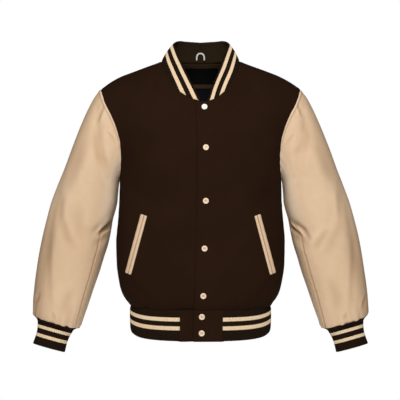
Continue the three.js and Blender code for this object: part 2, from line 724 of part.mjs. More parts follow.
// The hanger loop: a strip that arches on the inside of the collar, at the middle of the back.
function hangerLoop(backSeam, halfLength) {
  const steps = 12;
  const height = backSeam.distanceTo(collarPoint(backSeam, 1, 1));
  const place = (x, rise, into) => {
    const share = 1 - Math.abs(x) / halfLength;
    const p = collarPoint(backSeam, 1, rise / height);
    const edge = new THREE.Vector3(x, -(x ** 2) / (2 * LOOP_CURVE) - into, 0);
    return share > 0 ? p.add(edge) : p;
  };
  const depths = [RIB + 3 * LAID_ON, RIB + 3 * LAID_ON + LOOP_THICK];
  const grid = (into) => [LOOP_WIDTH / 2, -LOOP_WIDTH / 2].map((off) => {
    const row = [];
    for (let i = 0; i <= steps; i += 1) {
      const turn = (Math.PI * i) / steps;
      const radius = LOOP_HALF + off;
      const rise = LOOP_FOOT + (LOOP_HEIGHT - 2 * LOOP_FOOT + off) * Math.sin(turn) ** LOOP_POWER;
      row.push(place(-radius * Math.cos(turn), Math.max(LOOP_FOOT, rise), into));
    }
    return row;
  });
  return wall(grid(depths[0]), grid(depths[1]));
}

// A piece laid inside the back, made from some of the back's own points moved in.
function insideBack(grid, normals, depth, thickness) {
  return wall(moved(grid, normals, -depth), moved(grid, normals, -depth - thickness));
}

// One lip of a pocket, laid on the left front along the pocket's slant.
function pocketLip({ from, to }) {
  const slant = new THREE.Vector2(POCKET_BOTTOM.x - POCKET_TOP.x, POCKET_BOTTOM.z - POCKET_TOP.z);
  slant.normalize();
  const rows = 8;
  const grid = (out) => {
    const made = [];
    for (let r = rows; r >= 0; r -= 1) {
      const x = mix(POCKET_TOP.x, POCKET_BOTTOM.x, r / rows);
      const z = mix(POCKET_TOP.z, POCKET_BOTTOM.z, r / rows);
      const across = (w) => x - w * slant.y * POCKET_FORESHORTENING;
      made.push([from, to].map((w) => onBody(SIDES.front, across(w), z + w * slant.x, out)));
    }
    return made;
  };
  return { outer: grid(LAID_ON + POCKET_HEIGHT), inner: grid(LAID_ON) };
}

// A snap's cap, with its rolled rim and dished middle, standing on the cloth.
function snapCap() {
  const at = ({ out, up }) => new THREE.Vector2(SNAP_RADIUS * out, SNAP_HEIGHT * up);
  return new THREE.LatheGeometry(SNAP_PROFILE.map(at), SNAP_SIDES);
}

// Where a snap's round base just clears the cloth, at a place of the front view.
function seatOn(cloth, x, z) {
  const far = 50;
  const caster = new THREE.Raycaster();
  const hit = (from, towards) => {
    caster.set(from, towards);
    return caster.intersectObject(cloth)[0];
  };
  const ahead = new THREE.Vector3(x, SIDES.front.sign * (SIDES.front.depth + far), z);
  const { point, face } = hit(ahead, new THREE.Vector3(0, 1, 0));
  const out = face.normal.clone();
  const across = new THREE.Vector3(0, 0, 1).cross(out).normalize();
  const up = out.clone().cross(across);
  let highest = 0;
  for (let turn = 0; turn < 2 * Math.PI; turn += Math.PI / 6) {
    const rim = point.clone().addScaledVector(across, SNAP_BASE * SNAP_RADIUS * Math.cos(turn));
    rim.addScaledVector(up, SNAP_BASE * SNAP_RADIUS * Math.sin(turn)).addScaledVector(out, far);
    const found = hit(rim, out.clone().negate());
    if (found) highest = Math.max(highest, far - found.distance);
  }
  return { point: point.addScaledVector(out, highest + SEAM_GAP), out };
}

const jacket = new THREE.Group();
function piece(name, geometry, look) {
  geometry.computeVertexNormals();
  const mesh = new THREE.Mesh(geometry, new THREE.MeshStandardMaterial({ ...COLOURS[look], metalness: 0 }));
  mesh.name = name;
  jacket.add(mesh);
  return mesh;
}

// A mirrored pair, from the outer and inner grids of the wearer's left one.
function pair(name, outer, inner, look, closed = false) {
  piece(`${name}_left`, wall(outer, inner, closed), look);
  piece(`${name}_right`, wall(mirrored(outer, closed), mirrored(inner, closed), closed), look);
}

// The body, the sleeves and the seam between them, worked out together.
function addBodyAndSleeves() {
  const sleeve = sleeveGrid();
  const sleeveNormals = gridNormals(sleeve, true);
  const last = sleeve.length - 1;
  const around = 2 * ARMHOLE_STEPS;
  const column = (step) => (step + around) % around;
  const lower = LOWER_LEVELS.length - 1;
  const [left, right] = [frontGrid(-OVERLAP, false), frontGrid(-UNDERLAP, true)];
  const panels = { left, right, back: backGrid() };
  const normals = Object.fromEntries(Object.entries(panels).map(([name, grid]) => [name, gridNormals(grid)]));
  const seamNormals = sleeveNormals[last].map((n) => n.clone());
  for (let step = 0; step <= ARMHOLE_STEPS; step += 1) {
    const row = lower + step;
    const frontSleeve = sleeveNormals[last][column(step)];
    const backSleeve = sleeveNormals[last][column(-step)];
    const front = normals.left[row][FRONT_COLUMNS].clone();
    const back = normals.back[row][0].clone();
    const out = sleeve[last - 1][column(step)].clone().sub(panels.left[row][FRONT_COLUMNS - 1]);
    const outBehind = sleeve[last - 1][column(-step)].clone().sub(panels.back[row][1]);
    seamNormals[column(step)] = shareNormals(frontSleeve, front, out.clone().negate());
    seamNormals[column(-step)] = shareNormals(backSleeve, back, outBehind.clone().negate());
    ["left", "right"].forEach((name) => {
      normals[name][row][FRONT_COLUMNS] = shareNormals(front, frontSleeve, out);
    });
    normals.back[row][0] = shareNormals(back, backSleeve, outBehind);
  }
  sleeveNormals[last] = seamNormals;
  const flat = (name, row, c) => flattened(normals[name][row][c]);
  for (let row = 0; row <= lower; row += 1) {
    ["left", "right"].forEach((name) => flat(name, row, FRONT_COLUMNS));
    flat("back", row, 0);
  }
  const top = panels.back.length - 1;
  for (let c = 0; c <= FRONT_COLUMNS; c += 1) ["left", "right"].forEach((name) => flat(name, top, c));
  for (let c = 0; c <= SHOULDER_COLUMNS; c += 1) flat("back", top, c);
  normals.back.forEach((row) => {
    for (let c = 0; c < row.length / 2; c += 1) {
      row[row.length - 1 - c] = row[c].clone().setX(-row[c].x);
    }
  });

  const front = trimmed(panels.left);
  piece("front_left", wall(front, moved(front, normals.left, -WOOL)), "wool");
  const under = trimmed(panels.right);
  piece("front_right", wall(mirrored(under), mirrored(moved(under, normals.right, -WOOL))), "wool");
  const back = trimmed(panels.back);
  piece("back", wall(back, moved(back, normals.back, -WOOL)), "wool");
  addInsidePieces({ grid: back, normals: normals.back });

  const part = (name, fromStep, toStep) => {
    const steps = [];
    for (let step = fromStep; step <= toStep; step += 1) steps.push(column(step));
    const outer = trimmed(sleeve.map((row) => steps.map((c) => row[c])));
    const ways = sleeveNormals.map((row) => steps.map((c) => row[c]));
    pair(name, outer, moved(outer, ways, -LEATHER), "leather");
  };
  part("sleeve_top", FRONT_SEAM_STEP, around - BACK_SEAM_STEP);
  part("sleeve_under", -BACK_SEAM_STEP, FRONT_SEAM_STEP);
  return panels;
}

function addTrims(panels) {
  piece("hem_band", hemBand(), "rib");
  const tab = hemTab(-OVERLAP, false);
  piece("hem_tab_left", wall(tab, moved(tab, gridNormals(tab), -TAB)), "wool");
  const under = hemTab(-UNDERLAP, true);
  piece("hem_tab_right", wall(mirrored(under), mirrored(moved(under, gridNormals(under), -TAB))), "wool");
  const { outer, inner } = cuff();
  pair("cuff", outer, inner, "rib", true);
  const { grid, backSeam, halfLength } = collarGrid(panels);
  const normals = gridNormals(grid);
  const collarInner = everyNth(moved(grid, normals, -RIB), 2 * INNER_EVERY);
  piece("collar", wall(ribbed(grid, normals, 1), collarInner), "rib");
  piece("hanger_loop", hangerLoop(backSeam, halfLength), "loop");
}

// The lining, the neck facing and the bare label, one on the other inside the back.
function addInsidePieces({ grid, normals }) {
  const middle = (grid[0].length - 1) / 2;
  const top = grid.length - 1;
  const pick = (of, rows, columns) => rows.map((r) => columns.map((c) => of[r][c]));
  const span = (from, to) => Array.from({ length: to - from + 1 }, (_, i) => from + i);
  let depth = WOOL + LAID_ON;
  const lay = (name, rows, columns, thickness, look, change = (g) => g) => {
    const points = change(pick(grid, rows, columns));
    piece(name, insideBack(points, change(pick(normals, rows, columns)), depth, thickness), look);
    depth += thickness + LAID_ON;
  };
  lay("lining", span(0, top - 1), span(0, 2 * middle), LINING, "satin");
  lay("neck_facing", span(top - FACING_ROWS, top), span(middle - 2, middle + 2), LINING, "wool", (g) => [
    ...g.slice(0, -1),
    g[g.length - 2].map((p, c) => p.clone().lerp(g[g.length - 1][c], FACING_TOP)),
  ]);
  lay("label", span(top - FACING_ROWS, top - 1), span(middle - 1, middle + 1), LINING, "satin", (g) => [
    g[0].map((p, c) => p.clone().lerp(g[1][c], LABEL_DROP)),
    ...g.slice(1),
  ]);
}

function addPocketsAndSnaps() {
  POCKET_LIPS.forEach((lip) => {
    const { outer, inner } = pocketLip(lip);
    pair(`pocket_${lip.name}`, outer, inner, "leather");
  });
  SNAPS.forEach(({ name, z }) => {
    const cloth = jacket.getObjectByName(z < HEM_SEAM_Z ? "hem_tab_left" : "front_left");
    const { point, out } = seatOn(cloth, lean(z, "x"), z);
    const mesh = piece(`snap_${name}`, snapCap(), "snap");
    mesh.position.copy(point);
    mesh.quaternion.setFromUnitVectors(new THREE.Vector3(0, 1, 0), out);
  });
}

addTrims(addBodyAndSleeves());
addPocketsAndSnaps();

export default jacket;
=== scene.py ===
# %% [markdown]
# A varsity jacket, filled out as if worn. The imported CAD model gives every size: wool body, leather
# sleeves, rib-knit collar, cuffs and hem band, and a row of snaps. This lesson rebuilds each cloth
# piece as a finer surface over its CAD solid, from the same formulas, with folds, seams and stitches.

import bpy
import numpy as np
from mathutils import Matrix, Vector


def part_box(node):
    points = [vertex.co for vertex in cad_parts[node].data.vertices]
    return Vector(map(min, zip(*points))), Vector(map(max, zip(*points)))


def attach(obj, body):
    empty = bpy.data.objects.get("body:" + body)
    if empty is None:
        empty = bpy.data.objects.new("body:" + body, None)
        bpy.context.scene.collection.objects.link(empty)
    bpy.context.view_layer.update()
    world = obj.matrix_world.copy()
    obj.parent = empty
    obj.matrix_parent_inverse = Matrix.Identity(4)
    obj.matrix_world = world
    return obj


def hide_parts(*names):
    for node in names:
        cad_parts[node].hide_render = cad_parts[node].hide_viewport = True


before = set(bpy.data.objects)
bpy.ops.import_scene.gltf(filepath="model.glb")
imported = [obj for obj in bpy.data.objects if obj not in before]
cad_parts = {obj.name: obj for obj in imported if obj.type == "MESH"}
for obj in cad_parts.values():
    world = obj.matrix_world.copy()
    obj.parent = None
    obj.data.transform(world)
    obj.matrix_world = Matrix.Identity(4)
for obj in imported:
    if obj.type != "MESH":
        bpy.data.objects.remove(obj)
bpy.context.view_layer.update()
MM = 0.001

# %% [markdown]
# The garment's sizes are short tables, as in the CAD. A smooth curve through a table's rows gives
# the value at any place between them, and it never overshoots a row.


# %% Curves through tables
class Curves:
    """Smooth curves through a table's rows. The first column says where, the others what.

    Between two rows a cubic runs from value to value. Its slope at a row is the harmonic mean of the
    rises on both sides, or level where the rise changes sign.
    """

    def __init__(self, columns, rows):
        data = np.array(rows, dtype=float)
        self.where = data[:, 0]
        self.what = {name: data[:, i] for i, name in enumerate(columns.split())}

    def __call__(self, at, name):
        x, y = self.where, self.what[name]
        rise = np.diff(y) / np.diff(x)
        same_way = rise[:-1] * rise[1:] > 0
        total = np.where(same_way, rise[:-1] + rise[1:], 1)
        inner = np.where(same_way, 2 * rise[:-1] * rise[1:] / total, 0)
        slope = np.concatenate([rise[:1], inner, rise[-1:]])
        at = np.clip(at, x[0], x[-1])
        i = np.clip(np.searchsorted(x, at, side="right") - 1, 0, len(x) - 2)
        step = x[i + 1] - x[i]
        t = (at - x[i]) / step
        start = y[i] * (1 + 2 * t) * (1 - t) ** 2 + slope[i] * step * t * (1 - t) ** 2
        end = y[i + 1] * (3 - 2 * t) * t**2 + slope[i + 1] * step * (t - 1) * t**2
        return start + end


def smooth(start, end, at):
    """0 before start, 1 after end, and an S-curve between them."""
    t = np.clip((at - start) / (end - start), 0, 1)
    return t * t * (3 - 2 * t)


def mix(a, b, t):
    """The value a share t of the way from a to b."""
    return a + (b - a) * t


# %% The body's sizes, in millimetres
ARMPIT_Z, HEM_SEAM_Z, HEM_BOTTOM_Z = -285, -594.5, -664.5
NECK_HALF, NECK_DROP, NECK_POWER, NECK_BACK_Z, NECK_BACK_POWER = 94, 107, 1.7, 5.4, 3
SHOULDER_SLOPE, SHOULDER_TIP_X, SHOULDER_ROUND_X, SHOULDER_ROUND_DROP = 0.375, 243, 180, 13.6
RIDGE_ROUND_X = 30
PLAN_POWER, ROW_CLOSING = 2.4, 1.6
WOOL, LEATHER, RIB, TAB, LINING = 2.4, 1.6, 3.6, 3.0, 1.0
OVERLAP, UNDERLAP, UNDER_GAP, RECESS_FROM, RECESS_TO = 18, 20, 1, 40, 75
LEAN_WIDTH, LEAN_DEPTH = 70, 60
LAID_ON = 0.6
FRONT = {"sign": -1, "depth": 135, "armhole": 66, "power": 1.6, "name": "front"}
BACK = {"sign": 1, "depth": 128, "armhole": 72, "power": 3, "name": "back"}
ring = Curves(
    "z half front back",
    [
        (-664.5, 169, 119, 110), (-594.5, 170, 121, 112), (-588, 174, 125, 116), (-577, 183, 131, 121),
        (-562, 191, 135, 124), (-535, 198, 137, 125), (-490, 204, 137, 123), (-440, 205, 134, 119),
        (-390, 201, 131, 117), (-340, 197.5, 131, 121), (-285, 196, 135, 128),
    ],
)
reach = Curves(
    "share front back",
    [
        (0, 196, 196), (0.08, 192, 193), (0.2, 189.5, 192), (0.33, 191, 195), (0.47, 199, 203),
        (0.65, 215, 217), (0.77, 227, 228), (1, 243, 243),
    ],
)
lean = Curves(
    "z x",
    [
        (-665, 2.5), (-609, 3.2), (-559, 6.5), (-450, 9.3), (-340, 12.3), (-216, 12.5), (-121, 9.3),
        (-60, 5), (0, 1), (60, 0),
    ],
)

# %% [markdown]
# The body is a stack of rounded rings. Above the armpit the rings close towards the shoulder seam,
# and the armhole cuts through them. A point is named by its turn round the ring and by its level.


# %% The body's surface
def shoulder_z(x):
    """Height of the shoulder seam: a straight slope that rounds over at its tip and in the middle."""
    away = np.abs(x)
    run = np.where(away < RIDGE_ROUND_X, (away**2 / RIDGE_ROUND_X + RIDGE_ROUND_X) / 2, away)
    past = np.maximum(0, away - SHOULDER_ROUND_X) / (SHOULDER_TIP_X - SHOULDER_ROUND_X)
    return -SHOULDER_SLOPE * (run - NECK_HALF) - SHOULDER_ROUND_DROP * past**2


def plan_depth(s):
    """Depth of a superellipse ring where its width is the share s of its half width."""
    return np.maximum(0, 1 - np.abs(s) ** PLAN_POWER) ** (1 / PLAN_POWER)


def armhole_turn(side, share):
    """Turn of the armhole seam: the angle at which the body is as deep as the armhole is."""
    share = np.asarray(share, dtype=float)
    left = np.where(share < 1, 1 - share, 1)
    closing = np.where(share < 1, (1 - share ** side["power"]) / left, side["power"])
    deep = 2 * side["armhole"] * np.sqrt(share) / (side["depth"] * np.sqrt(closing))
    return np.arcsin(np.maximum(0, 1 - deep**PLAN_POWER) ** (1 / PLAN_POWER))


def ring_reach(side, share):
    """Half width of the ring that the armhole cuts at this share of its height."""
    return reach(share, side["name"]) / np.sin(armhole_turn(side, share))


def body_point(side, turn, level):
    """Point of the body at a turn round the ring. Level 0 is the hem, 1 the armpit, 2 the shoulder."""
    s = np.sin(turn)
    z = mix(HEM_SEAM_Z, ARMPIT_Z, np.minimum(level, 1))
    low_x = ring(z, "half") * s
    low_y = side["sign"] * ring(z, side["name"]) * plan_depth(s)
    share = 1 - np.clip(2 - level, 0, 1) ** ROW_CLOSING
    high_x = ring_reach(side, share) * s
    fall = np.sqrt(np.maximum(0, 1 - share ** side["power"]))
    high_y = side["sign"] * side["depth"] * fall * plan_depth(s)
    high_z = mix(ARMPIT_Z, shoulder_z(high_x), share)
    low, high = np.stack([low_x, low_y, z], -1), np.stack([high_x, high_y, high_z], -1)
    return np.where((level <= 1)[..., None], low, high)


def body_place(side, x, z):
    """Turn and level of the body's point that the front view shows at x and z."""
    share = np.clip((z - ARMPIT_Z) / (shoulder_z(x) - ARMPIT_Z), 0, 1)
    low_turn = np.arcsin(np.clip(x / ring(z, "half"), -1, 1))
    high_turn = np.arcsin(np.clip(x / ring_reach(side, share), -1, 1))
    low_level = (z - HEM_SEAM_Z) / (ARMPIT_Z - HEM_SEAM_Z)
    high_level = 2 - (1 - share) ** (1 / ROW_CLOSING)
    below = z <= ARMPIT_Z
    return np.where(below, low_turn, high_turn), np.where(below, low_level, high_level)


def neck_z(x):
    """Height of the front neckline: a rounded U."""
    return -NECK_DROP * np.maximum(0, 1 - (np.abs(x) / NECK_HALF) ** NECK_POWER) ** (1 / NECK_POWER)


def back_neck_z(x):
    """Height of the back neckline."""
    return NECK_BACK_Z * (1 - np.abs(x / NECK_HALF) ** NECK_BACK_POWER)


def back_neck_level(x):
    """Level of the back neckline, which is almost straight as seen from the front."""
    share = (back_neck_z(x) - ARMPIT_Z) / (shoulder_z(x) - ARMPIT_Z)
    return 2 - (1 - np.minimum(1, share)) ** (1 / ROW_CLOSING)


def leaned(p):
    """Sideways shift of the front: the line of snaps isn't quite upright."""
    near = np.exp(-((p[..., 0] / LEAN_WIDTH) ** 2)) * np.clip(-p[..., 1] / LEAN_DEPTH, 0, 1)
    out = p.copy()
    out[..., 0] += lean(p[..., 2], "x") * near
    return out


# %% [markdown]
# Every cloth piece is a wall: an outer grid of points, an inner one, and a rounded edge all round
# that joins them. One function makes them all, so no edge in the jacket is a knife's.


# %% Grids and walls
def unit(v):
    """Vectors of length 1, the same way as v."""
    return v / np.maximum(np.linalg.norm(v, axis=-1, keepdims=True), 1e-9)


def normals_of(grid):
    """Outward normals: the cross product of the ways across and up the grid."""
    return unit(np.cross(np.gradient(grid, axis=1), np.gradient(grid, axis=0)))


def lengths_of(grid, axis):
    """Distance along each row or column of a grid, or along a line, from its first point."""
    steps = np.linalg.norm(np.diff(grid, axis=axis), axis=-1)
    first = np.zeros_like(np.take(steps, [0], axis=axis))
    return np.concatenate([first, np.cumsum(steps, axis=axis)], axis=axis)


def from_edges(grid):
    """Distance of each point from the first row, the last row, the first column and the last one."""
    up, down = lengths_of(grid, 0), lengths_of(grid[::-1], 0)[::-1]
    return up, down, lengths_of(grid, 1), lengths_of(grid[:, ::-1], 1)[:, ::-1]


def read_along(values, reached, at):
    """Values that go with the points of a line, read at some distances along it."""
    return np.stack([np.interp(at, reached, values[:, i]) for i in range(3)], -1)


EDGE_STEPS = 3


def edge_rings(outer, inner, away):
    """Rounded edge between two lines of points: half a circle that bulges away from the cloth."""
    turns = np.linspace(0, np.pi, EDGE_STEPS + 2)[1:-1, None, None]
    middle, half = (outer + inner) / 2, (outer - inner) / 2
    thick = np.linalg.norm(half, axis=-1, keepdims=True)
    return middle + half * np.cos(turns) + unit(away) * thick * np.sin(turns)


def wall(name, outer, inner, cloth, closed=False, painted_shading=None):
    """Makes a closed mesh from an outer and an inner grid of points, in millimetres.

    cloth holds the flat place of each grid point, which becomes the UV map that patterns follow.
    Its last argument holds painted shade and painted highlight for each point, from -1, the lightest
    painted highlight on a ridge, to 1, the darkest painted shade in a fold. It becomes an attribute,
    as does inside, which is 1 on the inner grid.
    """
    rows, columns = outer.shape[:2]
    painted_shading = np.zeros(rows * columns) if painted_shading is None else painted_shading.ravel()
    painted_shading_parts = [painted_shading, 0 * painted_shading]
    points, flat = [outer.reshape(-1, 3), inner.reshape(-1, 3)], [cloth.reshape(-1, 2)] * 2
    index = np.arange(rows * columns).reshape(rows, columns)
    across = np.concatenate([index, index[:, :1]], 1) if closed else index
    quads = [across[:-1, :-1], across[:-1, 1:], across[1:, 1:], across[1:, :-1]]
    front = np.stack(quads, -1).reshape(-1, 4)
    faces = [front, front[:, ::-1] + rows * columns]
    if closed:
        loops = [index[0], index[-1][::-1]]
        aways = [outer[0] - outer[1], (outer[-1] - outer[-2])[::-1]]
    else:
        loops = [np.concatenate([index[0, :-1], index[:-1, -1], index[-1, :0:-1], index[:0:-1, 0]])]
        way = np.zeros_like(outer)
        way[0] += unit(outer[0] - outer[1])
        way[-1] += unit(outer[-1] - outer[-2])
        way[:, 0] += unit(outer[:, 0] - outer[:, 1])
        way[:, -1] += unit(outer[:, -1] - outer[:, -2])
        aways = [way.reshape(-1, 3)[loops[0]]]
    count = 2 * rows * columns
    for loop, away in zip(loops, aways):
        rings = edge_rings(outer.reshape(-1, 3)[loop], inner.reshape(-1, 3)[loop], away)
        points.append(rings.reshape(-1, 3))
        flat += [cloth.reshape(-1, 2)[loop]] * EDGE_STEPS
        painted_shading_parts += [painted_shading[loop]] * EDGE_STEPS
        added = count + np.arange(EDGE_STEPS * len(loop)).reshape(EDGE_STEPS, -1)
        count += EDGE_STEPS * len(loop)
        ring_ids = [loop, *added, loop + rows * columns]
        for a, b in zip(ring_ids[:-1], ring_ids[1:]):
            faces.append(np.stack([a, b, np.roll(b, -1), np.roll(a, -1)], -1))
    piece = mesh_from(name, leaned(np.concatenate(points)), faces, np.concatenate(flat))
    inside = np.zeros(count)
    inside[rows * columns : 2 * rows * columns] = 1
    # The first attribute is the painted shade and painted highlight that the leather's colour follows.
    for key, values in (("painted_shading", np.concatenate(painted_shading_parts)), ("inside", inside)):
        attribute = piece.data.attributes.new(key, "FLOAT", "POINT")
        attribute.data.foreach_set("value", values.astype(np.float32))
    return piece


def mesh_from(name, points, faces, flat):
    """Puts arrays of points, faces and flat places into a new mesh object.

    faces is a list of arrays, each of faces with the same number of corners.
    """
    corners = np.concatenate([f.ravel() for f in faces]).astype(np.int32)
    sizes = np.concatenate([np.full(len(f), f.shape[1]) for f in faces])
    mesh = bpy.data.meshes.new(name)
    mesh.vertices.add(len(points))
    mesh.vertices.foreach_set("co", (points * MM).astype(np.float32).ravel())
    mesh.loops.add(len(corners))
    mesh.loops.foreach_set("vertex_index", corners)
    mesh.polygons.add(len(sizes))
    mesh.polygons.foreach_set("loop_start", (np.cumsum(sizes) - sizes).astype(np.int32))
    mesh.polygons.foreach_set("use_smooth", np.ones(len(sizes), dtype=bool))
    mesh.update(calc_edges=True)
    uv = mesh.uv_layers.new(name="cloth")
    uv.data.foreach_set("uv", (flat[corners] * MM).astype(np.float32).ravel())
    piece = bpy.data.objects.new(name, mesh)
    bpy.context.collection.objects.link(piece)
    return piece


def flat_places(grid):
    """Flat place of each point: its distance along its row, from the middle column, and up its column."""
    along = lengths_of(grid, 1)
    return np.stack([along - along[:, [along.shape[1] // 2]], lengths_of(grid, 0)], -1)


def mirrored(grid):
    """The same grid on the other side of the body, with its columns turned so that it faces out."""
    return grid[:, ::-1] * np.array([-1, 1, 1])


SIDES = {"left": False, "right": True}
made = {}


def keep(piece, node):
    """Lets a piece stand for its CAD node and ride on the jacket."""
    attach(piece, "root")
    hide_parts(node)
    made[node] = piece


def panel(name, node, slot, outer, inner, cloth=None, painted_shading=None, closed=False, right=False):
    """Makes a wall and lets it stand for its node. A right one is given as if it were a left one."""
    if right:
        outer, inner = (np.roll(mirrored(grid), int(closed), axis=1) for grid in (outer, inner))
        painted_shading = None if painted_shading is None else painted_shading[:, ::-1]
    cloth = flat_places(outer) if cloth is None else cloth
    keep(wall(name, outer, inner, cloth, closed, painted_shading), node)


# %% [markdown]
# Cloth that is filled out still folds. A fold here is a soft trough pressed along a path, with a low
# ridge on one side of it. Seams draw the cloth in and pucker it a little, unevenly.


# %% Folds and puckers
def trough(x, z, path, width, depth, ridge=0.35):
    """How far a fold presses the cloth in: deepest on its path, fading out at both ends.

    Across the path it is a bell curve, less a lower one beside it for the ridge.
    """
    path = np.array(path, dtype=float)
    lengths, reached = np.linalg.norm(np.diff(path, axis=0), axis=1), lengths_of(path, 0)
    nearest = np.full(np.shape(x), np.inf)
    off, along = np.zeros_like(nearest), np.zeros_like(nearest)
    for (ax, az), (bx, bz), length, start in zip(path[:-1], path[1:], lengths, reached):
        ux, uz = (bx - ax) / length, (bz - az) / length
        t = np.clip((x - ax) * ux + (z - az) * uz, 0, length)
        dx, dz = x - ax - t * ux, z - az - t * uz
        distance = np.hypot(dx, dz)
        closer = distance < nearest
        side = np.where(dx * uz - dz * ux < 0, -1, 1)
        nearest = np.where(closer, distance, nearest)
        off = np.where(closer, distance * side, off)
        along = np.where(closer, (start + t) / reached[-1], along)
    ends = smooth(-0.05, 0.4, along) * (1 - smooth(0.6, 1.05, along))
    q = off / width
    return depth * ends * (np.exp(-(q**2)) - ridge * np.exp(-(((q - 1.5) / 0.9) ** 2)))


def puckers(along, away, pitch, height, span, seed):
    """Uneven ripples along a seam, which fade with distance from it: three waves out of step."""
    start = seed * 1.7
    wave = np.sin(2 * np.pi * along / pitch + start)
    wave = wave + 0.7 * np.sin(2 * np.pi * along / (pitch * 1.63) + 2.1 * start)
    wave = wave * (0.6 + 0.4 * np.sin(2 * np.pi * along / (pitch * 5.3) + 0.7 * start))
    return height * wave * np.exp(-away / span)


def seam_dip(away, depth=1.0, width=2.2):
    """How a sewn edge sinks into its seam, with the raised seam allowance beside it."""
    return -depth * np.exp(-((away / width) ** 2)) + 0.35 * np.exp(-(((away - 6) / 4) ** 2))


# %% [markdown]
# The two fronts are cut in melton wool, the left one lapping over the right. Each is one grid: its
# rows run from the front edge, and then the neckline, to the side seam and the armhole.

# %% Front panels
BODY_ROWS, ARMHOLE_ROWS, FRONT_COLUMNS = 84, 96, 96
EASED_ROWS, EASED_OVER = 8, 6
NECK_CORNER = 5 / 12
LEFT_SEED, RIGHT_SEED = 0.0, 2.3


def row_shares():
    """Shares of the armhole's height, closer together at its two ends."""
    k = np.linspace(0, 1, ARMHOLE_ROWS + 1)[1:]
    return k, (1 - np.cos(k * np.pi)) / 2


def eased_normals(grid):
    """Normals of a body panel, averaged over some rows at the armpit, where the panel bends.

    There the rows are close together, and unlike normals would fold the cloth over itself.
    """
    way = normals_of(grid)
    first, last = BODY_ROWS - EASED_ROWS, BODY_ROWS + EASED_ROWS
    near = range(-EASED_OVER, EASED_OVER + 1)
    way[first:last] = unit(sum(way[first + k : last + k] for k in near))
    return way


def front_places(edge_x):
    """Turn and level of every point of a front, which starts at edge_x by the closure."""
    z = np.linspace(HEM_SEAM_Z, ARMPIT_Z, BODY_ROWS)
    low_turn, low_level = body_place(FRONT, np.full_like(z, edge_x), z)
    k, share = row_shares()
    past = np.clip((k - NECK_CORNER) / (1 - NECK_CORNER), 0, 1)
    x = np.where(k <= NECK_CORNER, edge_x, mix(edge_x, NECK_HALF, np.sin(past * np.pi / 2)))
    edge_z = mix(ARMPIT_Z, neck_z(0), np.minimum(k / NECK_CORNER, 1))
    start_z = np.where(k <= NECK_CORNER, edge_z, neck_z(np.maximum(x, 0)))
    top_turn, top_level = body_place(FRONT, x, start_z)
    start_turn = np.concatenate([low_turn, top_turn])[:, None]
    start_level = np.concatenate([low_level, top_level])[:, None]
    end_level = np.concatenate([low_level, 2 - (1 - share) ** (1 / ROW_CLOSING)])[:, None]
    end_turn = np.concatenate([np.full_like(z, np.pi / 2), armhole_turn(FRONT, share)])[:, None]
    across = np.linspace(0, 1, FRONT_COLUMNS + 1)[None, :]
    return mix(start_turn, end_turn, across), mix(start_level, end_level, across)


# Each fold has its path in the front view, its width and its depth, in millimetres.
BODY_FOLDS = [
    ([(182, -250), (150, -215), (112, -160)], 15, 2.6),
    ([(186, -300), (150, -330), (96, -352)], 18, 2.4),
    ([(170, -395), (128, -440), (84, -505)], 20, 2.0),
    ([(190, -520), (150, -552), (120, -586)], 13, 3.0),
    ([(96, -592), (86, -560), (88, -515)], 11, 2.4),
    ([(44, -590), (40, -566), (48, -530)], 12, 1.8),
    ([(150, -104), (120, -70), (104, -34)], 12, 1.8),
    ([(30, -170), (24, -260), (34, -330)], 22, 1.5),
]


def front_relief(p, seed):
    """Height of a front's folds and puckers over its plain surface."""
    x, z = p[..., 0], p[..., 2]
    relief = -sum(trough(x + 6 * np.sin(seed), z, *fold) for fold in BODY_FOLDS)
    up, down, to_edge, to_side = from_edges(p)
    relief += puckers(x, up, 31, 1.1, 26, seed) + seam_dip(up, 0.9) + seam_dip(down, 0.7)
    relief += seam_dip(to_side, 0.9) + puckers(up, to_side, 23, 0.5, 9, seed + 1)
    corner = BODY_ROWS + NECK_CORNER * ARMHOLE_ROWS
    relief += seam_dip(to_edge, 0.7) * smooth(corner, corner + 16, np.arange(p.shape[0]))[:, None]
    relief += 0.35 * np.sin(x / 17 + z / 41 + seed) * np.sin(z / 29 - x / 53)
    return relief


def recess(x):
    """How far the right front sinks beneath the left one near the closure."""
    return (WOOL + UNDER_GAP) * (1 - smooth(RECESS_FROM, RECESS_TO, x))


def front_grids(edge_x, seed, under):
    """Outer and inner grid of a front, as for the wearer's left side."""
    turn, level = front_places(edge_x)
    plain = body_point(FRONT, turn, level)
    way = eased_normals(plain)
    way[-1] = unit(way[-1] * np.array([1, 0, 1]))
    relief = front_relief(plain, seed)
    if under:
        relief = relief - recess(plain[..., 0])
    outer = plain + way * relief[..., None]
    return outer, outer - way * WOOL


left_front = front_grids(-OVERLAP, LEFT_SEED, under=False)
right_front = front_grids(-UNDERLAP, RIGHT_SEED, under=True)
panel("left_front_cloth", "front_left", "wool", *left_front)
panel("right_front_cloth", "front_right", "wool", *right_front, right=True)
print("fronts:", {k: len(o.data.polygons) for k, o in made.items()})

# %% [markdown]
# The back is one panel, from side seam to side seam and up to the shoulder seams and the neckline.

# %% Back panel
NECK_STEPS, SHOULDER_STEPS = 26, 64


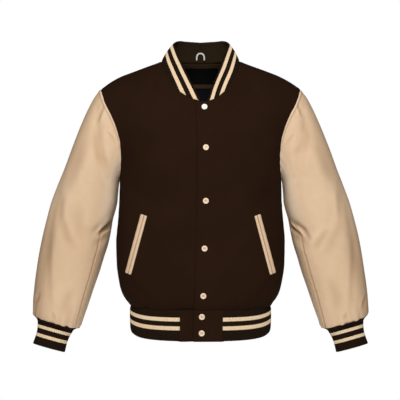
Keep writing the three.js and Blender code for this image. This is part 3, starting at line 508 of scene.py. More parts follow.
def back_places():
    """Turn and level of every point of the back. A column of points runs up to each neck corner."""
    top = armhole_turn(BACK, 1.0)
    corner = np.arcsin(NECK_HALF / ring_reach(BACK, 1.0)) / top
    half = np.concatenate(
        [np.linspace(0, corner, NECK_STEPS + 1), np.linspace(corner, 1, SHOULDER_STEPS + 1)[1:]]
    )
    across = np.concatenate([-half[:0:-1], half])[None, :]
    z = np.linspace(HEM_SEAM_Z, ARMPIT_Z, BODY_ROWS)[:, None]
    low_level = (z - HEM_SEAM_Z) / (ARMPIT_Z - HEM_SEAM_Z) + 0 * across
    low_turn = across * np.pi / 2 + 0 * z
    share = row_shares()[1][:, None]
    climb = 1 - (1 - share) ** (1 / ROW_CLOSING)
    top_x = ring_reach(BACK, 1.0) * np.sin(across * top)
    neck_level = back_neck_level(np.clip(top_x, -NECK_HALF, NECK_HALF))
    highest = np.where(np.abs(across) < corner - 1e-9, neck_level - 1, 1)
    turn = np.concatenate([low_turn, across * armhole_turn(BACK, share)])
    level = np.concatenate([low_level, 1 + climb * highest])
    return turn[:, ::-1], level[:, ::-1]


BACK_FOLDS = [
    ([(175, -240), (120, -290), (60, -310)], 20, 3.2),
    ([(-178, -235), (-128, -300), (-70, -330)], 20, 3.0),
    ([(160, -110), (150, -180), (158, -250)], 18, 2.6),
    ([(-160, -115), (-148, -190), (-156, -255)], 18, 2.6),
    ([(150, -400), (70, -420), (-30, -414)], 22, 2.8),
    ([(-160, -430), (-80, -452), (10, -450)], 22, 2.6),
    ([(120, -588), (112, -555), (120, -500)], 14, 2.4),
    ([(-90, -590), (-84, -552), (-92, -500)], 14, 2.4),
    ([(10, -590), (4, -560), (12, -520)], 14, 2.0),
]

back_turn, back_level = back_places()
back_plain = body_point(BACK, back_turn, back_level)
back_way = eased_normals(back_plain)
back_way[-1] = unit(back_way[-1] * np.array([1, 0.15, 1]))


def back_relief(p):
    """Height of the back's folds, seams and puckers over its plain surface."""
    x, z = p[..., 0], p[..., 2]
    relief = -sum(trough(x, z, *fold) for fold in BACK_FOLDS)
    up, down, from_left, from_right = from_edges(p)
    relief += puckers(x, up, 33, 1.1, 28, 4) + seam_dip(up, 0.9) + seam_dip(down, 0.7)
    relief += seam_dip(from_left, 0.9) + seam_dip(from_right, 0.9)
    relief += puckers(up, from_left, 23, 0.5, 9, 5) + puckers(up, from_right, 23, 0.5, 9, 6)
    return relief + 0.35 * np.sin(x / 19 + z / 47) * np.sin(z / 31 - x / 61)


back_bumps = back_relief(back_plain)
back_outer = back_plain + back_way * back_bumps[..., None]
panel("back_cloth", "back", "wool", back_outer, back_outer - back_way * WOOL)

# %% [markdown]
# A sleeve leaves the armhole seam exactly and becomes a tube of ellipses down to the cuff. It is cut
# in two, a top sleeve and an under sleeve, and its seams run down the inner side. The leather is
# stiff, so its folds are few: at the cap, across the biceps, and at the bend of the elbow.

# %% Sleeve tube
sleeve_ring = Curves(
    "place out_x out_z in_x in_z depth y",
    [
        (0, 243, -69.5, 196, -285, 69, 3), (1, 257, -87, 199.5, -296, 71, 3),
        (2, 274, -118, 201, -308, 74, 4), (3, 293, -160, 202, -319, 76, 5),
        (4, 313, -210, 203, -330, 77, 6), (5, 333, -264, 204, -343, 77, 7),
        (6, 350, -306, 208, -361, 76, 7), (7, 364, -344, 215, -385, 75, 6),
        (8, 375, -385, 220, -415, 74, 4), (9, 384, -425, 226, -445, 73, 0),
        (10, 391, -465, 236, -478, 72, -5), (11, 396, -502, 246, -513, 70, -11),
        (12, 400.5, -541.5, 259, -551.5, 68, -18), (13, 403, -577.5, 272, -591.5, 65, -24),
        (14, 403, -600, 282, -620.5, 62, -28), (15, 401, -613, 290.5, -644.5, 57, -30),
    ],
)
SLEEVE_END, CAP_BLEND, ARMPIT_BLEND = 15, 4.5, 1.3
INNER_FULLNESS, OUTER_FULLNESS = 0.7, 0.85
STEPS_UP, MM_PER_PLACE = 12, 30
BACK_SEAM = -4
front_seam = Curves(
    "place step",
    [(0, 1), (3, 0.2), (6.5, 0.3), (7.6, 1.4), (8.4, 2.3), (10, 2.4), (12, 2.3), (13.5, 2.1), (15, 1.8)],
)
# Each large fold runs from a turn in degrees and a place to others. Its width and depth follow.
SLEEVE_FOLDS = [
    (127, 1.6, 60, 3.4, 15, 5),
    (140, 0.8, 118, 2.2, 10, 3),
    (0, 7.1, 62, 8.4, 12, 8),
    (8, 8.2, 48, 9.2, 10, 4),
    (152, 5.2, 136, 11.5, 15, 4.5),
    (118, 6.8, 80, 9.6, 18, 4),
    (215, 3.5, 250, 7.5, 16, 5),
    (300, 7.0, 255, 8.8, 14, 6),
]


def sleeve_ellipse(place, turn):
    """Point of a sleeve's ring, which runs through its inner and outer edge.

    It is fuller than an ellipse, and more so on the inner side.
    """
    share = (1 - np.cos(turn)) / 2
    x = mix(sleeve_ring(place, "in_x"), sleeve_ring(place, "out_x"), share)
    z = mix(sleeve_ring(place, "in_z"), sleeve_ring(place, "out_z"), share)
    power = np.where(np.cos(turn) > 0, INNER_FULLNESS, OUTER_FULLNESS)
    full = np.sign(np.sin(turn)) * np.abs(np.sin(turn)) ** power
    y = sleeve_ring(place, "y") - sleeve_ring(place, "depth") * full
    return np.stack([x, y, z], -1)


def armhole_point(step):
    """Point of the left armhole seam: step 0 is the armpit, 12 the shoulder tip, 24 the armpit."""
    share = (1 - np.cos(step * np.pi / STEPS_UP)) / 2
    level = 2 - (1 - share) ** (1 / ROW_CLOSING)
    ahead = body_point(FRONT, armhole_turn(FRONT, share), level)
    behind = body_point(BACK, armhole_turn(BACK, share), level)
    return np.where((step % (2 * STEPS_UP) <= STEPS_UP)[..., None], ahead, behind)


def fold_depth(turn, place):
    """How far the large folds press the sleeve in, as in the CAD."""
    degrees = np.degrees(turn)
    total = 0
    for turn_a, place_a, turn_b, place_b, width, depth in SLEEVE_FOLDS:
        around, down = turn_b - turn_a, (place_b - place_a) * MM_PER_PLACE
        length = np.hypot(around, down)
        a, d = degrees - turn_a, (place - place_a) * MM_PER_PLACE
        along = (a * around + d * down) / length**2
        off = (a * down - d * around) / length
        ends = smooth(-0.15, 0.35, along) * (1 - smooth(0.65, 1.15, along))
        total = total + depth * ends * np.exp(-((off / width) ** 2))
    return total


def sleeve_point(step, place):
    """Point of the left sleeve: the armhole seam at place 0, fading into the ellipses."""
    start = armhole_point(step)
    inner = sleeve_ellipse(np.zeros_like(step), np.zeros_like(step))
    outer = sleeve_ellipse(np.zeros_like(step), np.full_like(step, np.pi))
    chord = outer - inner
    share = np.clip(((start - inner) * chord).sum(-1) / (chord**2).sum(-1), 0, 1)
    half = np.arccos(1 - 2 * share)
    turn = np.where(step % (2 * STEPS_UP) <= STEPS_UP, half, 2 * np.pi - half)
    stray = start - sleeve_ellipse(np.zeros_like(step), turn)
    blend = mix(ARMPIT_BLEND, CAP_BLEND, np.clip(3 * share, 0, 1))
    p = sleeve_ellipse(place, turn) + stray * (1 - smooth(0, blend, place))[..., None]
    edges = [sleeve_ellipse(place, np.full_like(step, turned)) for turned in (0, np.pi)]
    centre = (edges[0] + edges[1]) / 2
    inward = unit(centre - p)
    return p + inward * (fold_depth(turn, place) * smooth(0, 0.8, place))[..., None]


# %% Sleeve folds and seams
SLEEVE_ROWS = 190
LEFT_CREASES = [
    ([(230, -103), (238, -122), (245, -142)], 4.5, 3.4),
    ([(252, -132), (255, -188), (245, -214), (220, -238)], 11, 2.8),
    ([(224, -182), (212, -194), (199, -212)], 3, 2.0),
    ([(275, -190), (300, -250), (322, -312)], 15, 1.9),
    ([(329, -300), (334, -340), (336, -398)], 9, 2.4),
    ([(247, -436), (236, -421), (220, -404), (206, -380)], 5, 7.5, 0.6),
    ([(262, -438), (243, -410), (226, -398)], 7, 3.4),
    ([(310, -404), (281, -438), (262, -462)], 9, 2.6),
    ([(336, -372), (331, -404), (314, -436), (290, -478)], 13, 2.2),
    ([(366, -415), (362, -500), (356, -582), (350, -622)], 8, 1.7),
    ([(300, -520), (318, -560), (322, -610)], 13, 2.0),
    ([(398, -560), (388, -580), (384, -600)], 5, 2.2),
    ([(344, -600), (338, -622)], 4, 1.8),
]
RIGHT_CREASES = [
    ([(229, -104), (238, -130), (250, -160)], 4.5, 3.6),
    ([(248, -150), (247, -203), (238, -236), (210, -280)], 11, 3.0),
    ([(226, -172), (214, -184), (199, -206)], 3, 2.0),
    ([(272, -180), (300, -262), (326, -330)], 15, 1.9),
    ([(328, -315), (334, -355), (337, -405)], 9, 2.4),
    ([(246, -426), (231, -406), (206, -381)], 5, 7.5, 0.6),
    ([(240, -412), (226, -408), (210, -402)], 4, 3.0),
    ([(338, -365), (318, -426), (294, -462)], 10, 2.4),
    ([(286, -330), (290, -390), (276, -440)], 14, 1.5),
    ([(357, -405), (361, -480), (357, -551), (353, -606)], 8, 1.7),
    ([(298, -540), (316, -580), (314, -620)], 12, 1.8),
    ([(398, -592), (386, -570), (380, -552)], 5, 2.2),
    ([(350, -600), (342, -622)], 4, 1.8),
]
# The fold depth, in millimetres, that gives the darkest painted shade in a crease.
FOLD_DEPTH_FOR_FULL_SHADE = 6.5


def sleeve_grids(first, last, columns, creases, seed):
    """Outer and inner grid of one piece of the left sleeve, between two seams, with its painted shade and
    painted highlight.

    first and last give the seam's step round the armhole at each place down the sleeve.
    """
    place = np.linspace(SLEEVE_END, 0, SLEEVE_ROWS + 1)[:, None]
    step = mix(first(place), last(place), np.linspace(0, 1, columns + 1)[None, :])
    plain = sleeve_point(step, place + 0 * step)
    way = normals_of(plain)
    x, z = plain[..., 0], plain[..., 2]
    ahead = smooth(0.02, 0.25, -way[..., 1])
    behind = smooth(0.05, 0.35, way[..., 1])
    pressed = ahead * sum(trough(x, z, *crease) for crease in creases)
    pressed += behind * sum(trough(x - 8, z - 14, *crease) for crease in creases[::2])
    up, down, along, to_last = from_edges(plain)
    relief = seam_dip(along, 0.8) + seam_dip(to_last, 0.8) - pressed
    relief += puckers(up, along, 17, 0.5, 9, seed) + puckers(up, to_last, 17, 0.5, 9, seed + 1)
    gathers = puckers(along, up, 19, 1.3, 20, seed + 2) + puckers(along, down, 21, 0.6, 12, seed + 3)
    relief += gathers + seam_dip(up, 1.2)
    relief += 1.1 * np.exp(-(((down - 3.5) / 3) ** 2)) - 1.0 * np.exp(-((down / 1.5) ** 2))
    relief += 0.5 * np.sin(x / 23 + z / 37 + seed) * np.sin(z / 43 - plain[..., 1] / 21)
    # Painted shade along the sleeve's seams and just inside the armhole seam, where the leather sinks.
    lines = np.exp(-((np.minimum(along, to_last) / 1.8) ** 2)) + np.exp(-(((down - 6.5) / 1.8) ** 2))
    # Painted shade in the creases and gather troughs, and painted highlight on their ridges.
    painted_shading = (pressed - 0.6 * gathers) / FOLD_DEPTH_FOR_FULL_SHADE + 0.8 * lines
    # Painted highlight on the inner edge of the upper sleeve, where it turns away from the light.
    painted_shading -= 1.0 * smooth(0.3, 0.8, -way[..., 0]) * smooth(-420, -350, z) * ahead
    # Painted shade: darker below the elbow, most on the side that faces out.
    painted_shading += smooth(-330, -450, z) * (0.12 + 0.4 * smooth(0.2, 0.85, way[..., 0]))
    # Painted highlight on the leather's raised edge at the armhole seam.
    painted_shading -= 0.6 * np.exp(-((down / 3.5) ** 2))
    outer = plain + way * relief[..., None]
    return outer, outer - way * LEATHER, np.clip(painted_shading, -1, 1)


def back_seam(place):
    """Step of the sleeve's back seam, the same all the way down."""
    return BACK_SEAM + 0 * place


def front_seam_step(place):
    """Step of the front seam: hidden by the body above the elbow, on the front below it."""
    return front_seam(place, "step")


def past_shoulder(place):
    """The back seam again, counted on round the armhole from the front."""
    return 2 * STEPS_UP + back_seam(place)


SLEEVE_PIECES = {
    "sleeve_top": (front_seam_step, past_shoulder, 128),
    "sleeve_under": (back_seam, front_seam_step, 56),
}
sleeve_outer = {}
for node, (first, last, columns) in SLEEVE_PIECES.items():
    for side, creases, seed in (("left", LEFT_CREASES, 1.0), ("right", RIGHT_CREASES, 3.2)):
        outer, inner, painted_shading = sleeve_grids(first, last, columns, creases, seed)
        right, name = SIDES[side], f"{node}_{side}"
        sleeve_outer[name] = mirrored(outer) if right else outer
        panel(f"{name}_leather", name, "leather", outer, inner, painted_shading=painted_shading, right=right)

# %% [markdown]
# Rib knit is ridges of stitches with valleys between. Each rib is a real wave in the mesh here. The
# band is worked out as a plain ring of evenly spaced points first, and the ribs are added to it.

# %% Rib knit
RIB_PITCH, RIB_HEIGHT, POINTS_PER_RIB, INNER_EVERY = 4.5, 0.9, 8, 4


def rib_count(length):
    """Ribs round a band, in whole groups as in the CAD."""
    return INNER_EVERY * round(length / RIB_PITCH / INNER_EVERY)


def rib_wave(count, columns):
    """Height of the ribs at each column: rounded ridges, narrow valleys."""
    phase = np.arange(columns) * count / (columns - 1)
    return RIB_HEIGHT * (1 - np.abs(np.cos(np.pi * phase)) ** 3)


def evenly(line, count):
    """Points along a line, evenly spaced by length, and its length."""
    reached = lengths_of(line, 0)
    return read_along(line, reached, np.linspace(0, reached[-1], count + 1)), reached[-1]


def hem_point(turn, z):
    """Point of the hem band: turn 0 is the middle of the front, half a turn the middle of the back."""
    s = np.sin(turn)
    depth = np.where(np.cos(turn) > 0, -ring(z, "front"), ring(z, "back"))
    return np.stack([ring(z, "half") * s, depth * plan_depth(s), z + 0 * s], -1)


# %% Hem band
TAB_HALF, HEM_HEIGHT, HEM_ROWS = 52, HEM_SEAM_Z - HEM_BOTTOM_Z, 16
HEM_LIFT, HEM_LIFT_POWER, HEM_CURL, HEM_CURL_HEIGHT = 9, 7, 8, 14
hem_start = np.arcsin(TAB_HALF / ring(HEM_SEAM_Z, "half"))
hem_turns = np.linspace(hem_start, 2 * np.pi - hem_start, 1441)
hem_line = hem_point(hem_turns, HEM_SEAM_Z)
hem_ribs = rib_count(evenly(hem_line, 1)[1])
hem_top, hem_length = evenly(hem_line, hem_ribs * POINTS_PER_RIB)
hem_ups = np.linspace(0, 1, HEM_ROWS + 1)[:, None]
hem_sizes = [ring(HEM_BOTTOM_Z, c) / ring(HEM_SEAM_Z, c) for c in ("half", "front")]
hem_low = hem_top * np.array([*hem_sizes, 0]) + np.array([0, 0, HEM_BOTTOM_Z])
hem_plain = mix(hem_low[None], hem_top[None], hem_ups[..., None])
hem_way = normals_of(hem_plain)
sideways = np.abs(hem_top[:, 0]) / ring(HEM_SEAM_Z, "half")
lift_share = smooth(0, 0.25, 1 - hem_ups) - 0.6 * smooth(0.6, 1, 1 - hem_ups)
lift = HEM_LIFT * sideways[None, :] ** HEM_LIFT_POWER * lift_share
near_end = np.clip(1 - HEM_HEIGHT * hem_ups / HEM_CURL_HEIGHT, 0, 1)
curl = HEM_CURL * (1 - np.sqrt(1 - near_end**2)) * (sideways**4)[None, :]
hem_plain = hem_plain - hem_way * curl[..., None] + np.array([0, 0, 1]) * lift[..., None]
hem_way = normals_of(hem_plain)
hem_bulge = 1.4 * np.sin(np.pi * hem_ups) - 1.2 * np.exp(-(((1 - hem_ups) / 0.04) ** 2))
hem_wave = rib_wave(hem_ribs, hem_top.shape[0])[None, :]
hem_wave = hem_wave * (1 - 0.7 * np.exp(-(((1 - hem_ups) / 0.05) ** 2)))
hem_outer = hem_plain + hem_way * (hem_wave + hem_bulge)[..., None]
hem_cloth = np.stack(np.broadcast_arrays(lengths_of(hem_plain, 1), HEM_HEIGHT * (1 - hem_ups)), -1)
panel("hem_rib", "hem_band", "rib", hem_outer, hem_plain - hem_way * RIB, hem_cloth)
print("hem band:", round(hem_length), "mm round,", hem_ribs, "ribs")

# %% Cuffs
cuff_ring = Curves(
    "down half depth",
    [(0.35, 56.8, 56.4), (6, 48.5, 48.5), (13, 43, 43.5), (42, 37.5, 38.5), (58, 38, 38.8), (65, 38.5, 39)],
)
CUFF_ROWS, CUFF_RIBS, CUFF_FORWARD, CUFF_TILT = 24, 56, -0.12, 0.15
CUFF_TOP, CUFF_BOTTOM, CUFF_FLAT_RADIUS = 0.35, 65, 40
cuff_out, cuff_in = (sleeve_ellipse(np.array(1.0 * SLEEVE_END), np.array(turn)) for turn in (np.pi, 0.0))
cuff_across = unit(cuff_out - cuff_in)
cuff_down = unit(np.array([cuff_across[2], CUFF_FORWARD, -cuff_across[0]]))


def cuff_grids():
    """Both grids and the flat places of the left cuff. Its rings narrow quickly below the seam."""
    count = CUFF_RIBS * POINTS_PER_RIB
    turn = -2 * np.pi * np.arange(count) / count
    down = np.linspace(CUFF_BOTTOM, CUFF_TOP, CUFF_ROWS + 1)[:, None]
    wave = rib_wave(CUFF_RIBS, count + 1)[None, :-1]
    gathers = 0.8 * np.sin(9 * turn + 1) * np.exp(-down / 9)

    def grid(out):
        centre = (cuff_out + cuff_in) / 2 + cuff_down * down[..., None]
        sideways = (cuff_ring(down, "half") + out) * np.cos(turn)
        ahead = (cuff_ring(down, "depth") + out) * np.sin(turn)
        tilt = CUFF_TILT * smooth(0, 22, down) * ahead
        return centre + cuff_across * sideways[..., None] + np.stack([0 * ahead, -ahead, tilt], -1)

    round_length = 2 * np.pi * CUFF_FLAT_RADIUS * np.arange(count) / count
    cloth = np.stack(np.broadcast_arrays(round_length[None, :], down), -1)
    return grid(wave + gathers), grid(-RIB + 0 * wave), cloth


for side, right in SIDES.items():
    panel(f"cuff_rib_{side}", f"cuff_{side}", "rib", *cuff_grids(), closed=True, right=right)

# %% [markdown]
# The collar is a band of rib knit, folded double. Its lower edge is the neck seam and its fold runs
# round the neck, falling to a point at each front end.

# %% Collar
collar_edge = Curves(
    "share x y z",
    [
        (0, 11, -104, -102.8), (0.12, 21, -88, -76), (0.24, 32, -69, -48), (0.36, 44, -48, -16),
        (0.48, 54, -22, 18), (0.58, 61.5, 1, 42.5), (0.665, 56, 17, 50), (0.76, 45, 32, 53.5),
        (0.87, 26, 45, 53.5), (1, 0, 50, 52.3),
    ],
)
COLLAR_END_X, COLLAR_BULGE, COLLAR_ROWS = 11, 2.5, 16
COLLAR_LEFT_OUT, COLLAR_RIGHT_OUT = (7.5, -95, 32), (3.5, -20, 20)


def neck_line(under):
    """Half of the neck seam, from the collar's front end to the middle of the back."""
    x = mix(COLLAR_END_X, NECK_HALF, np.sin(np.linspace(0, np.pi / 2, 200)))
    ahead = body_point(FRONT, *body_place(FRONT, x, neck_z(x)))
    if under:
        ahead[:, 1] += recess(x)
    x = NECK_HALF * np.cos(np.linspace(0, np.pi / 2, 200)[1:])
    level = back_neck_level(x)
    share = 1 - (2 - level) ** ROW_CLOSING
    behind = body_point(BACK, np.arcsin(x / ring_reach(BACK, share)), level)
    return np.concatenate([ahead, behind])


def collar_half(under, count):
    """Plain grid of half the collar: straight up from the seam to the fold, with a slight bulge."""
    seam, _ = evenly(neck_line(under), count)
    share = np.linspace(0, 1, count + 1)
    fold = np.stack([collar_edge(share, c) for c in "xyz"], -1)
    up = np.linspace(0, 1, COLLAR_ROWS + 1)[:, None, None]
    out = unit(np.stack([seam[:, 0], seam[:, 1] + 10, 0 * share], -1))
    out = unit(out + np.array([0, 0, 0.5]))
    bulge = COLLAR_BULGE * 4 * up * (1 - up) * smooth(0, 0.15, share)[None, :, None]
    return mix(seam[None], fold[None], up) + out[None] * bulge


collar_ribs = rib_count(evenly(neck_line(False), 1)[1])
collar_count = collar_ribs * POINTS_PER_RIB
collar_left, collar_right = collar_half(False, collar_count), collar_half(True, collar_count)
collar_up = np.linspace(0, 1, COLLAR_ROWS + 1)[:, None]
for half, (out, low, high) in ((collar_left, COLLAR_LEFT_OUT), (collar_right, COLLAR_RIGHT_OUT)):
    half[..., 0] += out * collar_up * smooth(low, high, half[..., 2]) * smooth(0, 40, half[..., 0])
collar_plain = np.concatenate([collar_left, mirrored(collar_right)[:, 1:]], 1)
collar_way = normals_of(collar_plain)
collar_wave = rib_wave(2 * collar_ribs, collar_plain.shape[1])[None, :] * smooth(0, 0.08, collar_up)
collar_outer = collar_plain + collar_way * collar_wave[..., None]
collar_inner = collar_plain - collar_way * (RIB + collar_wave[:, ::-1] - RIB_HEIGHT)[..., None]
from_fold = lengths_of(collar_plain[::-1], 0)[::-1]
collar_cloth = np.stack([lengths_of(collar_plain[:1], 1) + 0 * from_fold, from_fold], -1)
panel("collar_rib", "collar", "rib", collar_outer, collar_inner, collar_cloth)

# %% [markdown]
# The plain wool ends of the hem band lap over each other, and carry the two lowest snaps.


# %% Hem tabs
TAB_BELOW, TAB_RECESS_FROM, TAB_RECESS_TO = 1.5, 24, 38


def tab_grids(edge_x, under):
    """Outer and inner grid of a wool tab, as for the wearer's left side."""
    x = np.linspace(edge_x, TAB_HALF, 37)[None, :]
    z = np.linspace(HEM_BOTTOM_Z - TAB_BELOW, HEM_SEAM_Z, 31)[:, None]
    plain = hem_point(np.arcsin(x / ring(HEM_SEAM_Z, "half")) + 0 * z, z + 0 * x)
    if under:
        plain[..., 1] += (TAB + UNDER_GAP) * (1 - smooth(TAB_RECESS_FROM, TAB_RECESS_TO, x))
    way = normals_of(plain)
    up, down = z - HEM_BOTTOM_Z, HEM_SEAM_Z - z
    relief = seam_dip(down + 0 * x, 0.9) + seam_dip(TAB_HALF - x + 0 * z, 0.7)
    relief += 0.25 * np.sin(x / 9 + z / 14) + 0.3 * np.exp(-(((up - 3) / 3) ** 2))
    outer = plain + way * relief[..., None]
    return outer, outer - way * TAB


panel("tab_left_cloth", "hem_tab_left", "wool", *tab_grids(-OVERLAP, under=False))
panel("tab_right_cloth", "hem_tab_right", "wool", *tab_grids(-UNDERLAP, under=True), right=True)

# %% [markdown]
# Inside the back lie the satin lining, a wool facing at the neck, a bare label and a hanger loop.

# %% Inside the back
LINING_TOP_ROW = BODY_ROWS + ARMHOLE_ROWS - 9
SATIN, PATCH = 0.6, 0.7
LINING_DEPTH = WOOL + LAID_ON + 1.2
FACING_DEPTH = LINING_DEPTH + LINING + 1.0
LABEL_DEPTH = FACING_DEPTH + LINING + LAID_ON
FACING_HALF, LABEL_HALF, FACING_LOW, LABEL_LOW, LABEL_HIGH = 78, 46, -52.8, -41, -3.6


def satin_ripples(p):
    """Long shallow ripples, as loose satin has."""
    x, z = p[..., 0], p[..., 2]
    return 0.9 * np.sin(x / 14 + 2 * np.sin(z / 60)) * np.sin(z / 90 + x / 70)


# The lining takes every second point of the back, moved in, and further where the back has a fold.
lined = (slice(0, LINING_TOP_ROW, 2), slice(1, -1, 2))
sink = LINING_DEPTH - np.minimum(0, back_bumps[lined]) + satin_ripples(back_plain[lined])
satin_outer = back_plain[lined] - back_way[lined] * sink[..., None]
panel("lining_satin", "lining", "lining", satin_outer, satin_outer - back_way[lined] * SATIN)


def laid_level(name, node, slot, half, low, high, depth, thick):
    """A piece laid inside the back with level rows, from a height up to another, moved in."""
    x = np.linspace(half, -half, 61)[None, :]
    z = mix(low + 0 * x, high(x), np.linspace(0, 1, 25)[:, None])
    base = body_point(BACK, *body_place(BACK, x + 0 * z, z))
    way = normals_of(base)
    outer = base - way * depth
    panel(name, node, slot, outer, outer - way * thick)


def facing_high(x):
    """Height of the facing's top edge, just under the neck seam."""
    return back_neck_z(x) - 0.8


def label_high(x):
    """Height of the label's top edge, which is level."""
    return LABEL_HIGH + 0 * x


laid_level("facing_cloth", "neck_facing", "wool", FACING_HALF, FACING_LOW, facing_high, FACING_DEPTH, LINING)
laid_level("label_patch", "label", "label", LABEL_HALF, LABEL_LOW, label_high, LABEL_DEPTH, PATCH)

LOOP_HALF, LOOP_HEIGHT, LOOP_WIDTH, LOOP_THICK = 9.4, 27, 2.4, 1.4
LOOP_FOOT, LOOP_POWER, LOOP_CURVE, LOOP_INTO = 5, 0.55, 34, RIB + 1.0


def loop_grid(into):
    """Grid of the hanger loop: an arch of tape that lies on the inside of the collar."""
    seam, fold = collar_plain[0, collar_count], collar_plain[-1, collar_count]
    height = np.linalg.norm(fold - seam)
    turn = np.linspace(0, np.pi, 49)[None, :]
    off = np.linspace(LOOP_WIDTH / 2, -LOOP_WIDTH / 2, 9)[:, None]
    arch = LOOP_FOOT + (LOOP_HEIGHT - 2 * LOOP_FOOT + off) * np.sin(turn) ** LOOP_POWER
    up = np.maximum(LOOP_FOOT, arch) / height
    x = -(LOOP_HALF + off) * np.cos(turn)
    p = seam + (fold - seam) * up[..., None]
    p[..., 0] += x
    p[..., 1] += COLLAR_BULGE * 3.6 * up * (1 - up) - x**2 / (2 * LOOP_CURVE) - into
    return p


panel("loop_tape", "hanger_loop", "loop", loop_grid(LOOP_INTO), loop_grid(LOOP_INTO + LOOP_THICK))

# %% [markdown]
# Each pocket is a slanted slit with two leather lips. A lip is a folded strip, so it is a little
# fuller along its middle.

# %% Pockets
POCKET_TOP, POCKET_BOTTOM = np.array([131, -375]), np.array([168, -510])
POCKET_LIPS = {"outer": (0.6, 9.6), "inner": (-6, 0)}
POCKET_HEIGHT, POCKET_FORESHORTENING = 2, 0.85
# SLIT_SHADE and SLIT_WIDTH give the painted shade in the slit between the lips; LIP_LIGHT is a painted
# highlight over the lips.
SLIT_SHADE, SLIT_WIDTH, LIP_LIGHT = 1.3, 1.7, 0.3
LIP_BULGE, LIP_BASE, LIP_STITCHES = 1.2, -0.6, 7.6
slant = unit(POCKET_BOTTOM - POCKET_TOP)
SMALL_MOVES = [(0.5, 0), (-0.5, 0), (0, 0.5), (0, -0.5)]


def front_normal(x, z):
    """Outward normal of the plain left front at a place of the front view, by small steps."""
    ahead = [body_point(FRONT, *body_place(FRONT, x + dx, z + dz)) for dx, dz in SMALL_MOVES]
    return unit(np.cross(ahead[0] - ahead[1], ahead[2] - ahead[3]))


def lip_point(share, off, out):
    """Point of a pocket at a share of its length, off to one side, out from the front's surface."""
    along = POCKET_TOP + (POCKET_BOTTOM - POCKET_TOP) * share[..., None]
    x = along[..., 0] - off * slant[1] * POCKET_FORESHORTENING
    z = along[..., 1] + off * slant[0]
    plain = body_point(FRONT, *body_place(FRONT, x, z))
    return plain + front_normal(x, z) * np.asarray(out)[..., None]


for lip, (near, far) in POCKET_LIPS.items():
    share, t = np.meshgrid(np.linspace(1, 0, 81), np.linspace(0, 1, 13), indexing="ij")
    off = mix(near, far, t)
    full = POCKET_HEIGHT + LIP_BULGE * np.sin(np.pi * t) + 0.15 * np.sin(share * 41)
    outer, inner = lip_point(share, off, full), lip_point(share, off, LIP_BASE + 0 * t)
    # Painted shade in the slit, and painted highlight on the rest of each lip.
    shade = SLIT_SHADE * np.exp(-(((off - 0.3) / SLIT_WIDTH) ** 2)) - LIP_LIGHT
    for side, right in SIDES.items():
        node = f"pocket_{lip}_{side}"
        panel(f"{lip}_lip_{side}", node, "leather", outer, inner, painted_shading=shade, right=right)

# %% [markdown]
# A snap's cap is pressed from sheet: a rolled rim, a shallow ring and a dished middle. Its profile is
# turned round its axis, and each cap stands where the CAD has it.

# %% Snaps
SNAP_PROFILE = [
    (0, 0.62), (0.2, 0.6), (0.36, 0.64), (0.45, 0.72), (0.5, 0.86), (0.56, 0.95), (0.66, 1.0),
    (0.78, 0.98), (0.9, 0.84), (0.97, 0.62), (1, 0.4), (0.985, 0.2), (0.94, 0.02), (0.9, 0),
]
SNAP_RADIUS, SNAP_HEIGHT, SNAP_SIDES = 7, 3, 48
SNAPS = ["front_1", "front_2", "front_3", "front_4", "front_5", "hem_1", "hem_2"]


def snap_cap(name, base, out):
    """Turns the cap's profile round the way out, from its middle to its rim and down to its base."""
    across = unit(np.cross([0, 0, 1], out))
    up = np.cross(out, across)
    radius, height = (np.array(SNAP_PROFILE[1:]) * [SNAP_RADIUS, SNAP_HEIGHT]).T[:, :, None]
    turn = (2 * np.pi * np.arange(SNAP_SIDES) / SNAP_SIDES)[None, :]
    rings = (
        base
        + across * (radius * np.cos(turn))[..., None]
        + up * (radius * np.sin(turn))[..., None]
        + out * (height + 0 * turn)[..., None]
    )
    rows = rings.shape[0]
    index = np.arange(rows * SNAP_SIDES).reshape(rows, SNAP_SIDES)
    after = np.roll(index, -1, 1)
    quads = np.stack([index[:-1], index[1:], after[1:], after[:-1]], -1).reshape(-1, 4)
    top, bottom = rows * SNAP_SIDES, rows * SNAP_SIDES + 1
    caps = np.concatenate(
        [
            np.stack([np.full(SNAP_SIDES, top), index[0], after[0]], -1),
            np.stack([np.full(SNAP_SIDES, bottom), after[-1], index[-1]], -1),
        ]
    )
    middle = base + out * SNAP_PROFILE[0][1] * SNAP_HEIGHT
    points = np.concatenate([rings.reshape(-1, 3), middle[None], base[None]])
    from_middle = np.stack(np.broadcast_arrays(radius, 0 * turn), -1).reshape(-1, 2)
    flat = np.concatenate([from_middle, [[0, 0], [SNAP_RADIUS, 0]]])
    return mesh_from(name, points, [quads, caps], flat)


for snap in SNAPS:
    low, high = (np.array(corner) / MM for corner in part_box(f"snap_{snap}"))
    centre = (low + high) / 2
    on_front = snap.startswith("front")
    out = front_normal(centre[0], centre[2]) if on_front else np.array([0, -1, 0])
    keep(snap_cap(f"cap_{snap}", centre - out * SNAP_HEIGHT / 2, out), f"snap_{snap}")

# %% [markdown]
# Stitches are short rounded threads along a line. They run beside the leather's seams and round the
# pocket lips, with one longer than the next here and there, as a real machine leaves them.

# %% Stitches
STITCH_SIDES, STITCH_LENGTH, STITCH_PITCH, STITCH_THICK = 6, 2.7, 3.6, 0.42
STITCH_SHAPE = [(-0.5, 0.45), (-0.42, 0.85), (-0.2, 1), (0.2, 1), (0.42, 0.85), (0.5, 0.45)]


